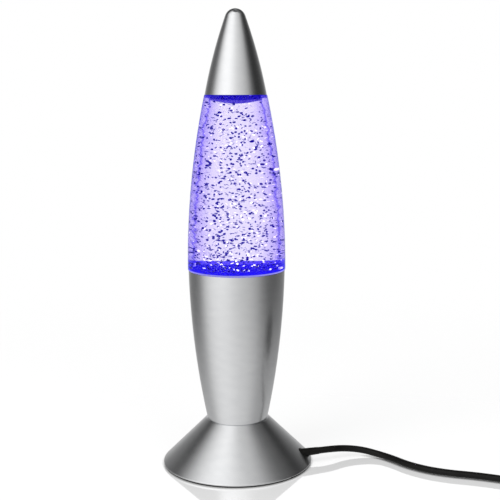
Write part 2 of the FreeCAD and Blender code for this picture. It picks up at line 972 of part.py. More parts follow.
def meeting_point(circle_a, circle_b, near):
    """Where two circles cross, nearest to a point."""
    (ax, az), ra = circle_a
    (bx, bz), rb = circle_b
    span, slope = length_and_angle((ax, az), (bx, bz))
    along = (ra**2 - rb**2 + span**2) / (2 * span)
    across = math.sqrt(ra**2 - along**2)
    found = []
    for side in (-1, 1):
        x = ax + along * math.cos(slope) - side * across * math.sin(slope)
        z = az + along * math.sin(slope) + side * across * math.cos(slope)
        found.append((x, z))
    return min(found, key=lambda p: length_and_angle(p, near)[0])


def bulb_glass():
    """The bulb's blown glass: a neck, a reflector, a rim that turns in, and a domed front."""
    def share_point(shares):
        return (shares[0] * bulb_radius, bulb_z(shares[1] * bulb_length))

    neck = (bulb_neck_radius, bulb_z(bulb_cap_top + bulb_cement))
    widest = (bulb_radius, bulb_z(bulb_widest_share * bulb_length))
    rim = share_point(bulb_rim_shares)
    top = (0.0, bulb_top)
    rise = bulb_top - rim[1]
    dome = (rim[0] ** 2 + rise**2) / (2 * rise)
    half = math.asin(rim[0] / dome) / 2
    middles = (
        share_point(bulb_lower_side_shares),
        share_point(bulb_upper_side_shares),
        (dome * math.sin(half), bulb_top - dome * (1 - math.cos(half))),
    )
    ends = (neck, widest, rim, top)
    circles = [circle_through(a, m, b) for a, m, b in zip(ends[:2], middles, ends[1:])]
    circles.append(((0.0, bulb_top - dome), dome))
    inner = [(centre, size - bulb_wall) for centre, size in circles]
    low = bulb_z(bulb_cap_top - bulb_neck_depth)
    (cr, cz), size = inner[0]
    inner_neck_radius = bulb_neck_radius - bulb_wall
    drop = math.sqrt(size**2 - (inner_neck_radius - cr) ** 2)
    inner_neck = (inner_neck_radius, cz + math.copysign(drop, neck[1] - cz))
    inner_top = (0.0, bulb_top - bulb_wall)
    inner_ends = (
        inner_neck,
        meeting_point(inner[0], inner[1], widest),
        meeting_point(inner[1], inner[2], rim),
        inner_top,
    )

    def midway(circle, a, b):
        (x, z), r = circle
        _, angle = length_and_angle((x, z), ((a[0] + b[0]) / 2, (a[1] + b[1]) / 2))
        return (x + r * math.cos(angle), z + r * math.sin(angle))

    steps = [(neck,)]
    steps += [(m, b) for m, b in zip(middles, ends[1:])]
    steps.append((inner_top,))
    for i in (2, 1, 0):
        steps.append((midway(inner[i], inner_ends[i + 1], inner_ends[i]), inner_ends[i]))
    steps.append(((inner_neck_radius, low),))
    return spun((bulb_neck_radius, low), *steps)


def bulb_stem():
    low = bulb_z(bulb_cap_top - bulb_neck_depth)
    flange = disc(bulb_neck_radius - bulb_wall, low, low + stem_flange)
    return flange.fuse(disc(stem_radius, low, bulb_z(stem_height)))


def bulb_filament():
    top = bulb_z(filament_height)
    start = bulb_z(stem_height) - 2.0
    sides = [
        tube_along(
            [
                (s * 0.5 * stem_radius, 0, start),
                (s * 0.5 * stem_radius, 0, start + 3.0),
                (s * filament_reach, 0, top - 2.0),
                (s * filament_reach, 0, top),
            ],
            filament_radius / 2,
        )[0]
        for s in (-1, 1)
    ]
    start = Vector(-filament_reach, 0, top)
    wire = Part.Arc(start, Vector(0, -filament_reach, top), Vector(filament_reach, 0, top))
    path = Part.Wire(wire.toShape())
    ring_section = Part.Wire(Part.makeCircle(filament_radius, start, Vector(0, -1, 0)))
    return path.makePipeShell([ring_section], True, False).fuse(sides)


# Bottle. Its neck is as high as the cap leaves room for the closure.
def cap_circles(inward):
    """Centres and sizes of the cap's side arc and of the round tip that it runs into."""
    tip = (0.0, total_height - cap_tip_radius)
    rim = (cap_rim_radius, seam_height)
    span, slope = length_and_angle(tip, rim)
    tip_side = cap_side_radius - cap_tip_radius
    along = (tip_side**2 - cap_side_radius**2 + span**2) / (2 * span)
    across = math.sqrt(tip_side**2 - along**2)
    centre = (
        tip[0] + along * math.cos(slope) + across * math.sin(slope),
        tip[1] + along * math.sin(slope) - across * math.cos(slope),
    )
    angle = length_and_angle(centre, tip)[1]
    touch = (
        tip[0] + (cap_tip_radius - inward) * math.cos(angle),
        tip[1] + (cap_tip_radius - inward) * math.sin(angle),
    )
    return (centre, cap_side_radius), tip, touch, angle


cap_side = cap_circles(0)[0]
crown_bottom = height_at(cap_side, crown_skirt_radius + closure_clearance, cap_wall)
crown_top = crown_bottom + crown_skirt_height
liner_top = crown_top - crown_metal
lip_top = liner_top - liner_thickness
neck_base = lip_top - finish_height
neck_rise = neck_base - seam_height
cap_step = glass_top_radius - cap_rim_radius
bottle_shoulder_radius = radius_at(glass_circle, seam_height) - cap_step - cap_wall - lift_gap


def bottle_outside():
    heel = (bottle_heel_radius, bottle_bottom + heel_round)
    ring_low = lip_top - 2 * lip_ring_height
    shoulder = (bottle_shoulder_radius + neck_radius) / 2 + shoulder_bulge
    return spun(
        (0, bottle_bottom),
        ((bottle_heel_radius - heel_round, bottle_bottom),),
        corner_arc(
            (bottle_heel_radius - heel_round, bottle_bottom), (bottle_heel_radius, bottle_bottom), heel
        ),
        ((bottle_lip_radius, joint_height),),
        ((glass_base_radius - glass_edge_round, joint_height),),
        corner_arc(
            (glass_base_radius - glass_edge_round, joint_height),
            (glass_base_radius, joint_height),
            (glass_base_radius, glass_base_height),
        ),
        arc_to(glass_circle, glass_base_height, seam_height),
        ((bottle_shoulder_radius, seam_height),),
        ((shoulder, seam_height + shoulder_middle * neck_rise), (neck_radius, neck_base)),
        ((neck_radius, ring_low),),
        ((lip_ring_radius, ring_low),),
        ((lip_ring_radius, ring_low + lip_ring_height),),
        ((neck_radius, ring_low + lip_ring_height),),
        ((neck_radius, lip_top),),
        ((0, lip_top),),
    )


def bottle_hollow(gap, top):
    """The bottle's inside, drawn in by a gap and filled to a height in the neck."""
    low = bottle_bottom + glass_floor + gap
    heel = bottle_heel_radius - glass_wall - gap
    inner_top = bottle_shoulder_radius - shoulder_glass - gap
    base = glass_base_radius - glass_wall - gap
    mid = glass_mid_radius - hollow_side_thickening * glass_wall - gap
    return spun(
        (0, low),
        ((heel - hollow_heel_round, low),),
        corner_arc((heel - hollow_heel_round, low), (heel, low), (heel, low + hollow_heel_round)),
        ((base - hollow_base_step, joint_height + glass_wall),),
        ((mid, (joint_height + seam_height) / 2), (inner_top, seam_height - 1.0)),
        (
            ((inner_top + neck_bore_radius) / 2 + shoulder_bulge / 2, seam_height + neck_rise / 2),
            (neck_bore_radius - gap, neck_base + 0.5),
        ),
        ((neck_bore_radius - gap, top),),
        ((0, top),),
    )


def glass_bottle():
    return bottle_outside().cut(bottle_hollow(0, lip_top))


def liquid_fill():
    return bottle_hollow(liquid_gap, seam_height + liquid_level_above_seam)


def glitter_flakes():
    """Small square flakes, spread evenly through the liquid by a golden-angle rule."""
    flakes = []
    half = flake_size / 2
    low = bottle_bottom + glass_floor + flake_floor_gap
    high = seam_height - flake_top_gap
    for i in range(flake_count):
        height = low + (high - low) * ((i * flake_height_step) % 1.0)
        reach = bottle_heel_radius - glass_wall - flake_size - flake_heel_gap
        if height > glass_base_height:
            reach = radius_at(glass_circle, height) - flake_wall_share * glass_wall - flake_size
        radius = reach * math.sqrt((i * flake_radius_step) % 1.0)
        x, y = polar(radius, flake_turn * i)
        flake = block(-half, half, -half, half, -flake_thickness / 2, flake_thickness / 2)
        flake = turned(flake, (i * flake_tip_step) % 90 - 45, axis=(1, 0, 0))
        flake = turned(flake, (i * flake_spin_step) % 360)
        flakes.append(moved(flake, x, y, height))
    return flakes


def crown_closure():
    top, bottom = crown_top, crown_bottom
    inner = lip_ring_radius + slip_gap
    skirt = spun(
        (0, top),
        ((inner - crown_edge_round, top),),
        corner_arc(
            (inner - crown_edge_round, top),
            (inner + crown_metal, top),
            (inner + crown_metal, top - crown_shoulder),
        ),
        ((crown_skirt_radius, bottom),),
        ((crown_skirt_radius - crown_metal, bottom),),
        ((inner, top - crown_shoulder - crown_metal),),
        ((inner, liner_top),),
        ((0, liner_top),),
    )
    flutes = []
    for i in range(crown_flutes):
        x, y = polar(crown_skirt_radius - crown_metal / 2, 360 * i / crown_flutes)
        upper = (*polar(inner + crown_metal / 2, 360 * i / crown_flutes), top - crown_shoulder)
        flutes.append(rod((x, y, bottom), upper, crown_flute_radius, crown_flute_radius / 2))
    return skirt.fuse(flutes)


def closure_liner():
    return disc(lip_ring_radius - slip_gap, lip_top, liner_top)


# Cap
def cap_form(inward):
    """The cap's solid form, drawn in by an amount all round, standing on the seam."""
    side, tip, touch, angle = cap_circles(inward)
    size = cap_tip_radius - inward
    halfway = (angle + math.pi / 2) / 2
    return spun(
        (0, seam_height),
        (on_circle(side, seam_height, inward),),
        arc_to(side, seam_height, touch[1], inward),
        ((tip[0] + size * math.cos(halfway), tip[1] + size * math.sin(halfway)), (0, tip[1] + size)),
    )


def cap_cone():
    return cap_form(0).cut(cap_form(cap_wall))


# Lead, its strain relief and its clamp
def strain_relief():
    body = rod(relief_axis(-relief_inside), relief_axis(0), relief_wall_radius)
    sleeve = rod(relief_axis(0), relief_axis(relief_outside), relief_wall_radius, relief_tip_radius)
    lip = rod(relief_axis(-relief_inside), relief_axis(relief_outside), relief_lip_radius)
    lip = lip.common(foot_layer(-relief_lip, 0))
    flange = rod(relief_axis(-relief_inside), relief_axis(relief_outside), relief_flange_radius)
    flange = flange.common(foot_layer(foot_wall, foot_wall + relief_flange))
    bore = rod(relief_axis(-relief_inside), relief_axis(relief_outside), cord_radius)
    return body.fuse([sleeve, lip, flange]).cut(bore).removeSplitter()


tail_end = relief_axis(-relief_inside - tail_reach)


def cord_tail():
    return rod(relief_axis(relief_outside), tail_end, cord_radius)


def cord_clamp():
    rest = exit_height - cord_radius
    top = exit_height + cord_radius + clamp_bar
    wide = clamp_screw_reach + clamp_bar
    bar = block(-clamp_length / 2, clamp_length / 2, -wide, wide, rest, rest + clamp_bar)
    ends = ((-clamp_length / 2, 0, exit_height), (clamp_length / 2, 0, exit_height))
    arch = rod(*ends, cord_radius + clamp_bar)
    arch = arch.common(block(-clamp_length, clamp_length, -wide, wide, rest, top))
    bore = rod(*ends, cord_radius)
    under = block(-clamp_length, clamp_length, -cord_radius, cord_radius, rest, exit_height)
    clamp = bar.fuse(arch).cut([bore, under])
    for side in (-1, 1):
        y = side * clamp_screw_reach
        clamp = clamp.cut(disc(clamp_screw_radius + seat_gap, rest, rest + clamp_bar, 0, y))
    return clamp_frame(clamp.removeSplitter())


def clamp_screws():
    rest = exit_height - cord_radius
    screws = []
    for side in (-1, 1):
        y = side * clamp_screw_reach
        head_top = rest + clamp_bar + clamp_head_height
        head = disc(clamp_head_radius, rest + clamp_bar, head_top, 0, y)
        slot = screw_slot(0, y, clamp_head_radius, head_top - screw_slot_depth, head_top)
        shank = disc(clamp_screw_radius, plate_top, rest + clamp_bar, 0, y)
        screws.append(clamp_frame(head.fuse(shank).cut(slot)))
    return screws


def inner_leads():
    """The two insulated cores, from the lead's cut end up through the threaded tube to the terminals."""
    local_end = turned(Part.Vertex(*tail_end), -exit_angle).Vertexes[0].Point
    u, v, z = local_end
    leads = []
    for side in (1, -1):
        rise = -side * lead_spread
        x = side * (lead_radius + lead_gap)
        points = [
            (u, v, z + rise),
            (u - 6, v, z + rise),
            (x + 5, v + 2, z + rise),
            (x, v + 9, z + 1 + rise),
            (x, -4.5, z + 5 + 2 * rise),
            (x, 0, tube_bottom - 4),
            (x, 0, floor_top + holder_bottom + 0.3),
            (side * terminal_reach, 0, terminal_bottom - 1.7),
            (side * terminal_reach, 0, terminal_bottom + 2.0),
        ]
        leads.append(turned(tube_along(points, lead_radius)[0], exit_angle))
    return leads


# Coil
def coil_state(turn):
    """Radius and height of the coil's middle line after a number of turns."""
    half = coil_turns / 2
    inner = coil_outer_radius - coil_pitch * half
    from_middle = turn - half
    if abs(from_middle) < coil_climb_turns:
        share = from_middle / coil_climb_turns
        radius = inner + coil_pitch * coil_climb_turns * (share**2 + 1) / 2
        height = cord_radius + layer_height * (0.5 + 0.5 * math.sin(share * math.pi / 2))
    else:
        radius = inner + coil_pitch * abs(from_middle)
        height = cord_radius + (layer_height if from_middle > 0 else 0.0)
    return radius, height


def coil_point(turn):
    radius, height = coil_state(turn)
    x, y = polar(radius, coil_start_angle + 360 * turn)
    return Vector(coil_centre[0] + x, coil_centre[1] + y, height)


def coil_heading(turn):
    step = 1e-5
    ahead = coil_point(min(turn + step, coil_turns)) - coil_point(max(turn - step, 0.0))
    if turn <= 0 or turn >= coil_turns:
        ahead.z = 0
    return ahead.normalize()


def biarc(start, heading, end, end_heading):
    """Two arcs that join two points with given headings."""
    chord = end - start
    both = heading + end_heading
    a = 2 * (heading.dot(end_heading) - 1)
    b = -2 * chord.dot(both)
    c = chord.dot(chord)
    reach = c / -b if abs(a) < 1e-9 else (-b - math.sqrt(b * b - 4 * a * c)) / (2 * a)
    first, second = start + heading * reach, end - end_heading * reach
    joint = (first + second) * 0.5
    arcs = []
    for begin, corner, finish in ((start, first, joint), (joint, second, end)):
        middle = (begin + finish) * 0.5
        half = (finish - begin).Length / 2
        arc_mid = corner + (middle - corner) * (1 / (1 + half / (begin - corner).Length))
        arcs.append(Part.Arc(begin, arc_mid, finish).toShape())
    return arcs


def cord_coil():
    knots = int(round(coil_turns * knots_per_turn))
    turns = [coil_turns * i / knots for i in range(knots + 1)]
    stub = 2 * cord_radius
    start, end = coil_point(0.0), coil_point(coil_turns)
    first, last = coil_heading(0.0), coil_heading(coil_turns)
    edges = [Part.LineSegment(start - first * stub, start).toShape()]
    for a, b in zip(turns, turns[1:]):
        edges += biarc(coil_point(a), coil_heading(a), coil_point(b), coil_heading(b))
    edges.append(Part.LineSegment(end, end + last * stub).toShape())
    path = Part.Wire(edges)
    section = Part.Wire(Part.makeCircle(cord_radius, start - first * stub, first))
    tube = path.makePipeShell([section], True, False)
    count = int(coil_turns * coil_samples_per_turn)
    points = [coil_point(coil_turns * i / count) for i in range(count + 1)]
    apart = coil_samples_per_turn // 2
    least = min(
        (points[i] - points[j]).Length
        for i in range(0, count, 4)
        for j in range(i + apart, count, 2)
    )
    gap = least - 2 * cord_radius
    share = tube.Volume / (math.pi * cord_radius**2 * path.Length)
    print(f"coil: length {path.Length:.1f}, least gap to itself {gap:.2f}, volume share {share:.4f}")
    return tube, (start - first * stub, first), (end + last * stub, last)


def coil_tie():
    """A flat band closed around all the turns where they are stacked evenly, pressed a little under them."""
    crossings = [(tie_angle - coil_start_angle) / 360 + i for i in range(coil_whole_turns + 1)]
    places = [coil_state(t) for t in crossings if t <= coil_turns]
    room = cord_radius + tie_gap
    near = min(r for r, _ in places) - room
    far = max(r for r, _ in places) + room
    top = max(z for _, z in places) + room
    low = min(z for _, z in places) - cord_radius + tie_press

    def loop(out, round_size):
        box = block(near - out, far + out, -tie_width / 2, tie_width / 2, low - out, top + out)
        along = [e for e in box.Edges if e.BoundBox.YLength > tie_width / 2]
        return box.makeFillet(round_size, along)

    band = loop(tie_thickness, cord_radius + tie_thickness).cut(loop(0, cord_radius - tie_press))
    lift = tie_thickness - tie_press
    band = moved(band, 0, 0, lift)
    return moved(turned(band, tie_angle), coil_centre[0], coil_centre[1], 0)


# Rocker switch, built with its length along X and turned into place
def switch_frame(shape):
    return moved(turned(shape, 90), switch_centre[0], switch_centre[1], 0)


def boat(inset, z_from, z_to):
    """The switch's plan, a box whose sides curve in to narrower ends, drawn in by an inset."""
    half, side = switch_length / 2 - inset, switch_width / 2 - inset
    end, shoulder = switch_end_width / 2 - inset, switch_shoulder
    sweep = ((half - shoulder) ** 2 + (side - end) ** 2) / (2 * (side - end))
    angle = math.asin((half - shoulder) / sweep) / 2
    mid = (shoulder + sweep * math.sin(angle), side - sweep * (1 - math.cos(angle)))

    def at(x, y):
        return Vector(x, y, z_from)

    edges = []
    for s in (1, -1):
        edges.append(Part.LineSegment(at(s * half, -s * end), at(s * half, s * end)).toShape())
        right = (at(s * half, s * end), at(s * mid[0], s * mid[1]), at(s * shoulder, s * side))
        edges.append(Part.Arc(*right).toShape())
        edges.append(Part.LineSegment(at(s * shoulder, s * side), at(-s * shoulder, s * side)).toShape())
        left = (at(-s * shoulder, s * side), at(-s * mid[0], s * mid[1]), at(-s * half, s * end))
        edges.append(Part.Arc(*left).toShape())
    return Part.Face(Part.Wire(edges)).extrude(Vector(0, 0, z_to - z_from))


def switch_form(z_from, z_to, rounded_z, radius):
    """A half of the switch's outside, with its end corners and one flat's edge rounded."""
    form = boat(0, z_from, z_to)
    upright = [e for e in form.Edges if e.BoundBox.ZLength > 1]
    upright = [e for e in upright if abs(abs(e.BoundBox.XMin) - switch_length / 2) < 1e-3]
    return rounded_at(form.makeFillet(switch_end_round, upright), rounded_z, radius)


def switch_cord_holes():
    reach = switch_length / 2
    inner = reach - end_wall
    return [rod((s * reach, 0, switch_split), (s * inner, 0, switch_split), cord_radius) for s in (-1, 1)]


def case_screw_places():
    return [(s * case_screw_reach, case_screw_offset) for s in (-1, 1)]


def switch_cavity(z_from, z_to):
    """The room inside the switch, closed at both ends by the thick walls that hold the lead."""
    reach = switch_length / 2 - end_wall
    room = block(-reach, reach, -switch_width, switch_width, z_from, z_to)
    return boat(switch_wall, z_from, z_to).common(room)


def switch_lower_half():
    shell = switch_form(0, switch_split, 0, switch_foot_round).cut(switch_cavity(switch_wall, switch_split))
    for x, y in case_screw_places():
        shell = shell.fuse(disc(case_boss_radius, switch_wall, switch_split, x, y))
    for x, y in case_screw_places():
        shell = shell.cut([
            disc(case_screw_head_radius + seat_gap, 0, case_screw_sink, x, y),
            disc(case_screw_radius + seat_gap, 0, switch_split, x, y),
        ])
    return switch_frame(shell.cut(switch_cord_holes()))


def switch_upper_half():
    top, ceiling = switch_height, switch_height - switch_wall
    shell = switch_form(switch_split, top, top, switch_top_round).cut(switch_cavity(switch_split, ceiling))
    for x, y in case_screw_places():
        shell = shell.fuse(disc(case_boss_radius, switch_split, ceiling, x, y))
        shell = shell.cut(disc(case_screw_radius, switch_split, switch_split + case_screw_bite, x, y))
    aperture = rocker_swing_radius + rocker_gap
    side = rocker_width / 2 + rocker_gap
    shell = shell.cut(block(-aperture, aperture, -side, side, switch_split, top))
    for s in (-1, 1):
        near, far = sorted((s * side, s * (rocker_pin_reach + pivot_post_wall)))
        post_low = rocker_pivot_height - pivot_post_drop
        shell = shell.fuse(block(-pivot_post_half, pivot_post_half, near, far, post_low, ceiling))
        blind = (0, s * (rocker_pin_reach + seat_gap), rocker_pivot_height)
        shell = shell.cut(rod((0, s * side, rocker_pivot_height), blind, rocker_pin_radius + slip_gap))
    return switch_frame(shell.cut(switch_cord_holes()))


def case_screws():
    screws = []
    for x, y in case_screw_places():
        low, high = case_screw_head_recess, case_screw_sink
        slot = screw_slot(x, y, case_screw_head_radius, low, low + screw_slot_depth)
        head = disc(case_screw_head_radius, low, high, x, y).cut(slot)
        shank = disc(case_screw_radius, high, switch_split + case_screw_bite - case_screw_tip_gap, x, y)
        screws.append(switch_frame(head.fuse(shank)))
    return screws


def rocker_tilted(shape, angle):
    return turned(shape, angle, (0, 0, rocker_pivot_height), (0, 1, 0))


def switch_rocker():
    rise = rocker_top_height - rocker_pivot_height
    reach = math.sqrt(rocker_swing_radius**2 - rise**2)
    low = rocker_pivot_height - rocker_body_depth
    low_reach = math.sqrt(rocker_swing_radius**2 - rocker_body_depth**2)
    side = Part.Face(outline(
        (-reach, rocker_top_height),
        [
            ((0, rocker_top_height - rocker_dish), (reach, rocker_top_height)),
            ((rocker_swing_radius, rocker_pivot_height), (low_reach, low)),
            ((-low_reach, low),),
            ((-rocker_swing_radius, rocker_pivot_height), (-reach, rocker_top_height)),
        ],
    ))
    body = moved(side.extrude(Vector(0, rocker_width, 0)), 0, -rocker_width / 2, 0)
    pin_ends = [(0, s * rocker_pin_reach, rocker_pivot_height) for s in (-1, 1)]
    pin = rod(*pin_ends, rocker_pin_radius)
    sleeve = disc(plunger_sleeve_radius, low - plunger_sleeve_depth, low)
    bore = disc(plunger_radius + slip_gap, low - plunger_sleeve_depth, low + spring_pocket)
    rocker = body.fuse([pin, sleeve]).cut(bore).removeSplitter()
    return switch_frame(rocker_tilted(rocker, rocker_rest_tilt))


def rocker_plunger():
    tip = rocker_pivot_height - plunger_reach
    ball = Part.makeSphere(plunger_radius, Vector(0, 0, tip))
    stem = disc(plunger_radius, tip, tip + plunger_stem)
    return switch_frame(rocker_tilted(stem.fuse(ball).removeSplitter(), rocker_rest_tilt))


def plunger_spring():
    """A small compression spring between the plunger and the rocker."""
    low = rocker_pivot_height - plunger_reach + plunger_stem
    high = rocker_pivot_height - rocker_body_depth + spring_pocket
    wire = spring_wire_radius
    middle = plunger_radius - wire - slip_gap
    rise = high - low - 2 * wire - 2 * slip_gap
    helix = Part.Wire(Part.makeHelix(rise / spring_coils, rise, middle).Edges)
    section = Part.Wire(Part.makeCircle(wire, Vector(middle, 0, 0), Vector(0, 1, 0)))
    spring = helix.makePipeShell([section], True, True)
    return switch_frame(rocker_tilted(moved(spring, 0, 0, low + wire + slip_gap), rocker_rest_tilt))


def switch_seesaw():
    half = seesaw_length / 2
    low = seesaw_pivot_height + contact_gap
    strip = block(-half, half, -seesaw_width / 2, seesaw_width / 2, low, low + seesaw_thickness)
    cheeks = []
    for s in (-1, 1):
        edge, wall = s * seesaw_width / 2, cheek_thickness / 2
        high = low + seesaw_thickness + cheek_rise
        cheeks.append(block(-cheek_half_length, cheek_half_length, edge - wall, edge + wall, low, high))
    tip = disc(tip_radius, low - tip_height, low, -half + tip_inset, 0)
    seesaw = strip.fuse(cheeks + [tip])
    return switch_frame(turned(seesaw, seesaw_rest_tilt, (0, 0, seesaw_pivot_height), (0, 1, 0)))


def switch_contacts():
    """The pivot terminal under the seesaw and the fixed contact that its end touches."""
    floor = switch_wall
    across = (seesaw_width - 1) / 2

    def lug(x_from, x_to):
        """A terminal block with a bore for the core, clamped under the lead's axis."""
        level = switch_split - lug_bore_below_split
        solid = block(x_from, x_to, -lug_half_width, lug_half_width, floor, switch_split - lug_below_split)
        return solid.cut(rod((x_from, 0, level), (x_to, 0, level), lug_bore_radius))

    knife = Part.Face(outline(
        (-knife_half, floor), [((knife_half, floor),), ((0, seesaw_pivot_height),)]
    )).extrude(Vector(0, 2 * across, 0))
    knife = moved(knife, 0, -across, 0)
    strip = block(-knife_half, lug_far - knife_half, -across, across, floor, floor + strip_thickness)
    pivot = knife.fuse([strip, lug(lug_near, lug_far)])
    half = seesaw_length / 2
    drop = (half - tip_inset) * math.sin(math.radians(-seesaw_rest_tilt)) + tip_height
    contact_top = seesaw_pivot_height - drop - contact_gap
    post = block(-half - tip_inset + 1.0, -half + 2 * knife_half, -knife_half, knife_half, floor, contact_top)
    rail = block(-lug_far + knife_half, -half + 1.0, -knife_half, knife_half, floor, floor + strip_thickness)
    return switch_frame(pivot), switch_frame(post.fuse([rail, lug(-lug_far, -lug_near)]))


def switch_cores():
    """The switched core's two ends and the other core, which passes through."""
    inner = switch_length / 2 - end_wall
    level = switch_split - lug_bore_below_split
    ends = []
    for s in (-1, 1):
        points = [
            (s * inner, 1.1, switch_split),
            (s * (inner - 2.0), 1.1, switch_split),
            (s * (inner - 5.2), 0.3, level + 0.3),
            (s * lug_far, 0, level),
        ]
        ends.append(switch_frame(tube_along(points, switch_core_radius)[0]))
    half = [
        (inner, -1.1, switch_split),
        (inner - 2.5, -1.1, switch_split),
        (inner - 8.5, -7.0, switch_split - 1.5),
    ]
    through = half + [(0, -7.6, switch_split - 2.4)] + [(-x, y, z) for x, y, z in reversed(half)]
    return ends, switch_frame(tube_along(through, switch_core_radius)[0])


# Plug, built with its face at the origin and its pins along +X, then turned to point along +Y
def plug_frame(shape):
    return moved(turned(shape, 90), plug_axis_x, plug_face_y, plug_centre_height)


def plug_body():
    w, r, rear, long = plug_width / 2, plug_waist_width / 2, plug_rear_width / 2, plug_length
    corner = plug_corner_round
    p = [
        (0, -w + corner),
        (0, w - corner),
        (-0.3 * corner, w - 0.3 * corner),
        (-corner, w),
        (-plug_flat_share * long, w),
        (-plug_bend_share * long, (w + r) / 2 + plug_bend_bulge),
        (-plug_waist_share * long, r),
        (-plug_rear_bend_share * long, (r + rear) / 2 + plug_rear_bulge),
        (-long, rear),
    ]
    q = [Vector(x, y, 0) for x, y in p]
    m = [Vector(x, -y, 0) for x, y in p]
    edges = [
        Part.LineSegment(q[0], q[1]).toShape(),
        Part.Arc(q[1], q[2], q[3]).toShape(),
        Part.LineSegment(q[3], q[4]).toShape(),
        Part.Arc(q[4], q[5], q[6]).toShape(),
        Part.Arc(q[6], q[7], q[8]).toShape(),
        Part.LineSegment(q[8], m[8]).toShape(),
        Part.Arc(m[8], m[7], m[6]).toShape(),
        Part.Arc(m[6], m[5], m[4]).toShape(),
        Part.LineSegment(m[4], m[3]).toShape(),
        Part.Arc(m[3], m[2], m[1]).toShape(),
    ]
    plan = Part.Face(Part.Wire(edges)).extrude(Vector(0, 0, plug_thickness))
    plan = moved(plan, 0, 0, -plug_thickness / 2)
    half, back = plug_thickness / 2, plug_rear_thickness / 2
    side = Part.Face(outline(
        (0, -half),
        [
            ((0, half),),
            ((-plug_taper_share * long, half),),
            ((-long, back),),
            ((-long, -back),),
            ((-plug_taper_share * long, -half),),
        ],
    ))
    side = moved(side.extrude(Vector(0, plug_width, 0)), 0, -plug_width / 2, 0)
    body = plan.common(side)
    face_edges = [e for e in body.Edges if max(abs(abs(v.Z) - half) for v in e.Vertexes) < 1e-6]
    before_taper = 1e-2 - plug_taper_share * long
    face_edges = [e for e in face_edges if e.BoundBox.ZLength < 1e-4 and e.BoundBox.XMin > before_taper]
    body = body.makeFillet(plug_edge_round, face_edges)
    tail = rod((-long, 0, 0), (-long - plug_tail_length, 0, 0), plug_tail_radius, plug_tail_end_radius)
    body = body.fuse(tail)
    cuts = []
    for i in range(tail_groove_count):
        x = -long - tail_groove_start - tail_groove_pitch * i
        far = x - tail_groove_width
        core = rod((far, 0, 0), (x, 0, 0), cord_radius + tail_core_wall)
        for s in (-1, 1):
            middle = s * tail_groove_out
            notch = block(
                far, x,
                middle - tail_groove_half, middle + tail_groove_half,
                -plug_thickness / 2, plug_thickness / 2,
            )
            cuts.append(notch.cut(core))
    body = body.cut(cuts)
    for s in (-1, 1):
        y = s * pin_spacing / 2
        body = body.cut(rod((0, y, 0), (-pin_buried, y, 0), pin_core_radius))
    return plug_frame(body)


def plug_pins():
    pins = []
    for s in (-1, 1):
        y = s * pin_spacing / 2
        core = rod((-pin_buried, y, 0), (pin_sleeve_length, y, 0), pin_core_radius)
        bare = rod((pin_sleeve_length, y, 0), (pin_length - pin_radius, y, 0), pin_radius)
        nose = Part.makeSphere(pin_radius, Vector(pin_length - pin_radius, y, 0))
        pins.append(plug_frame(core.fuse([bare, nose]).removeSplitter()))
    return pins


def pin_sleeves():
    sleeves = []
    for s in (-1, 1):
        y = s * pin_spacing / 2
        outer = rod((0, y, 0), (pin_sleeve_length, y, 0), pin_sleeve_radius)
        sleeves.append(plug_frame(outer.cut(rod((0, y, 0), (pin_sleeve_length, y, 0), pin_core_radius))))
    return sleeves


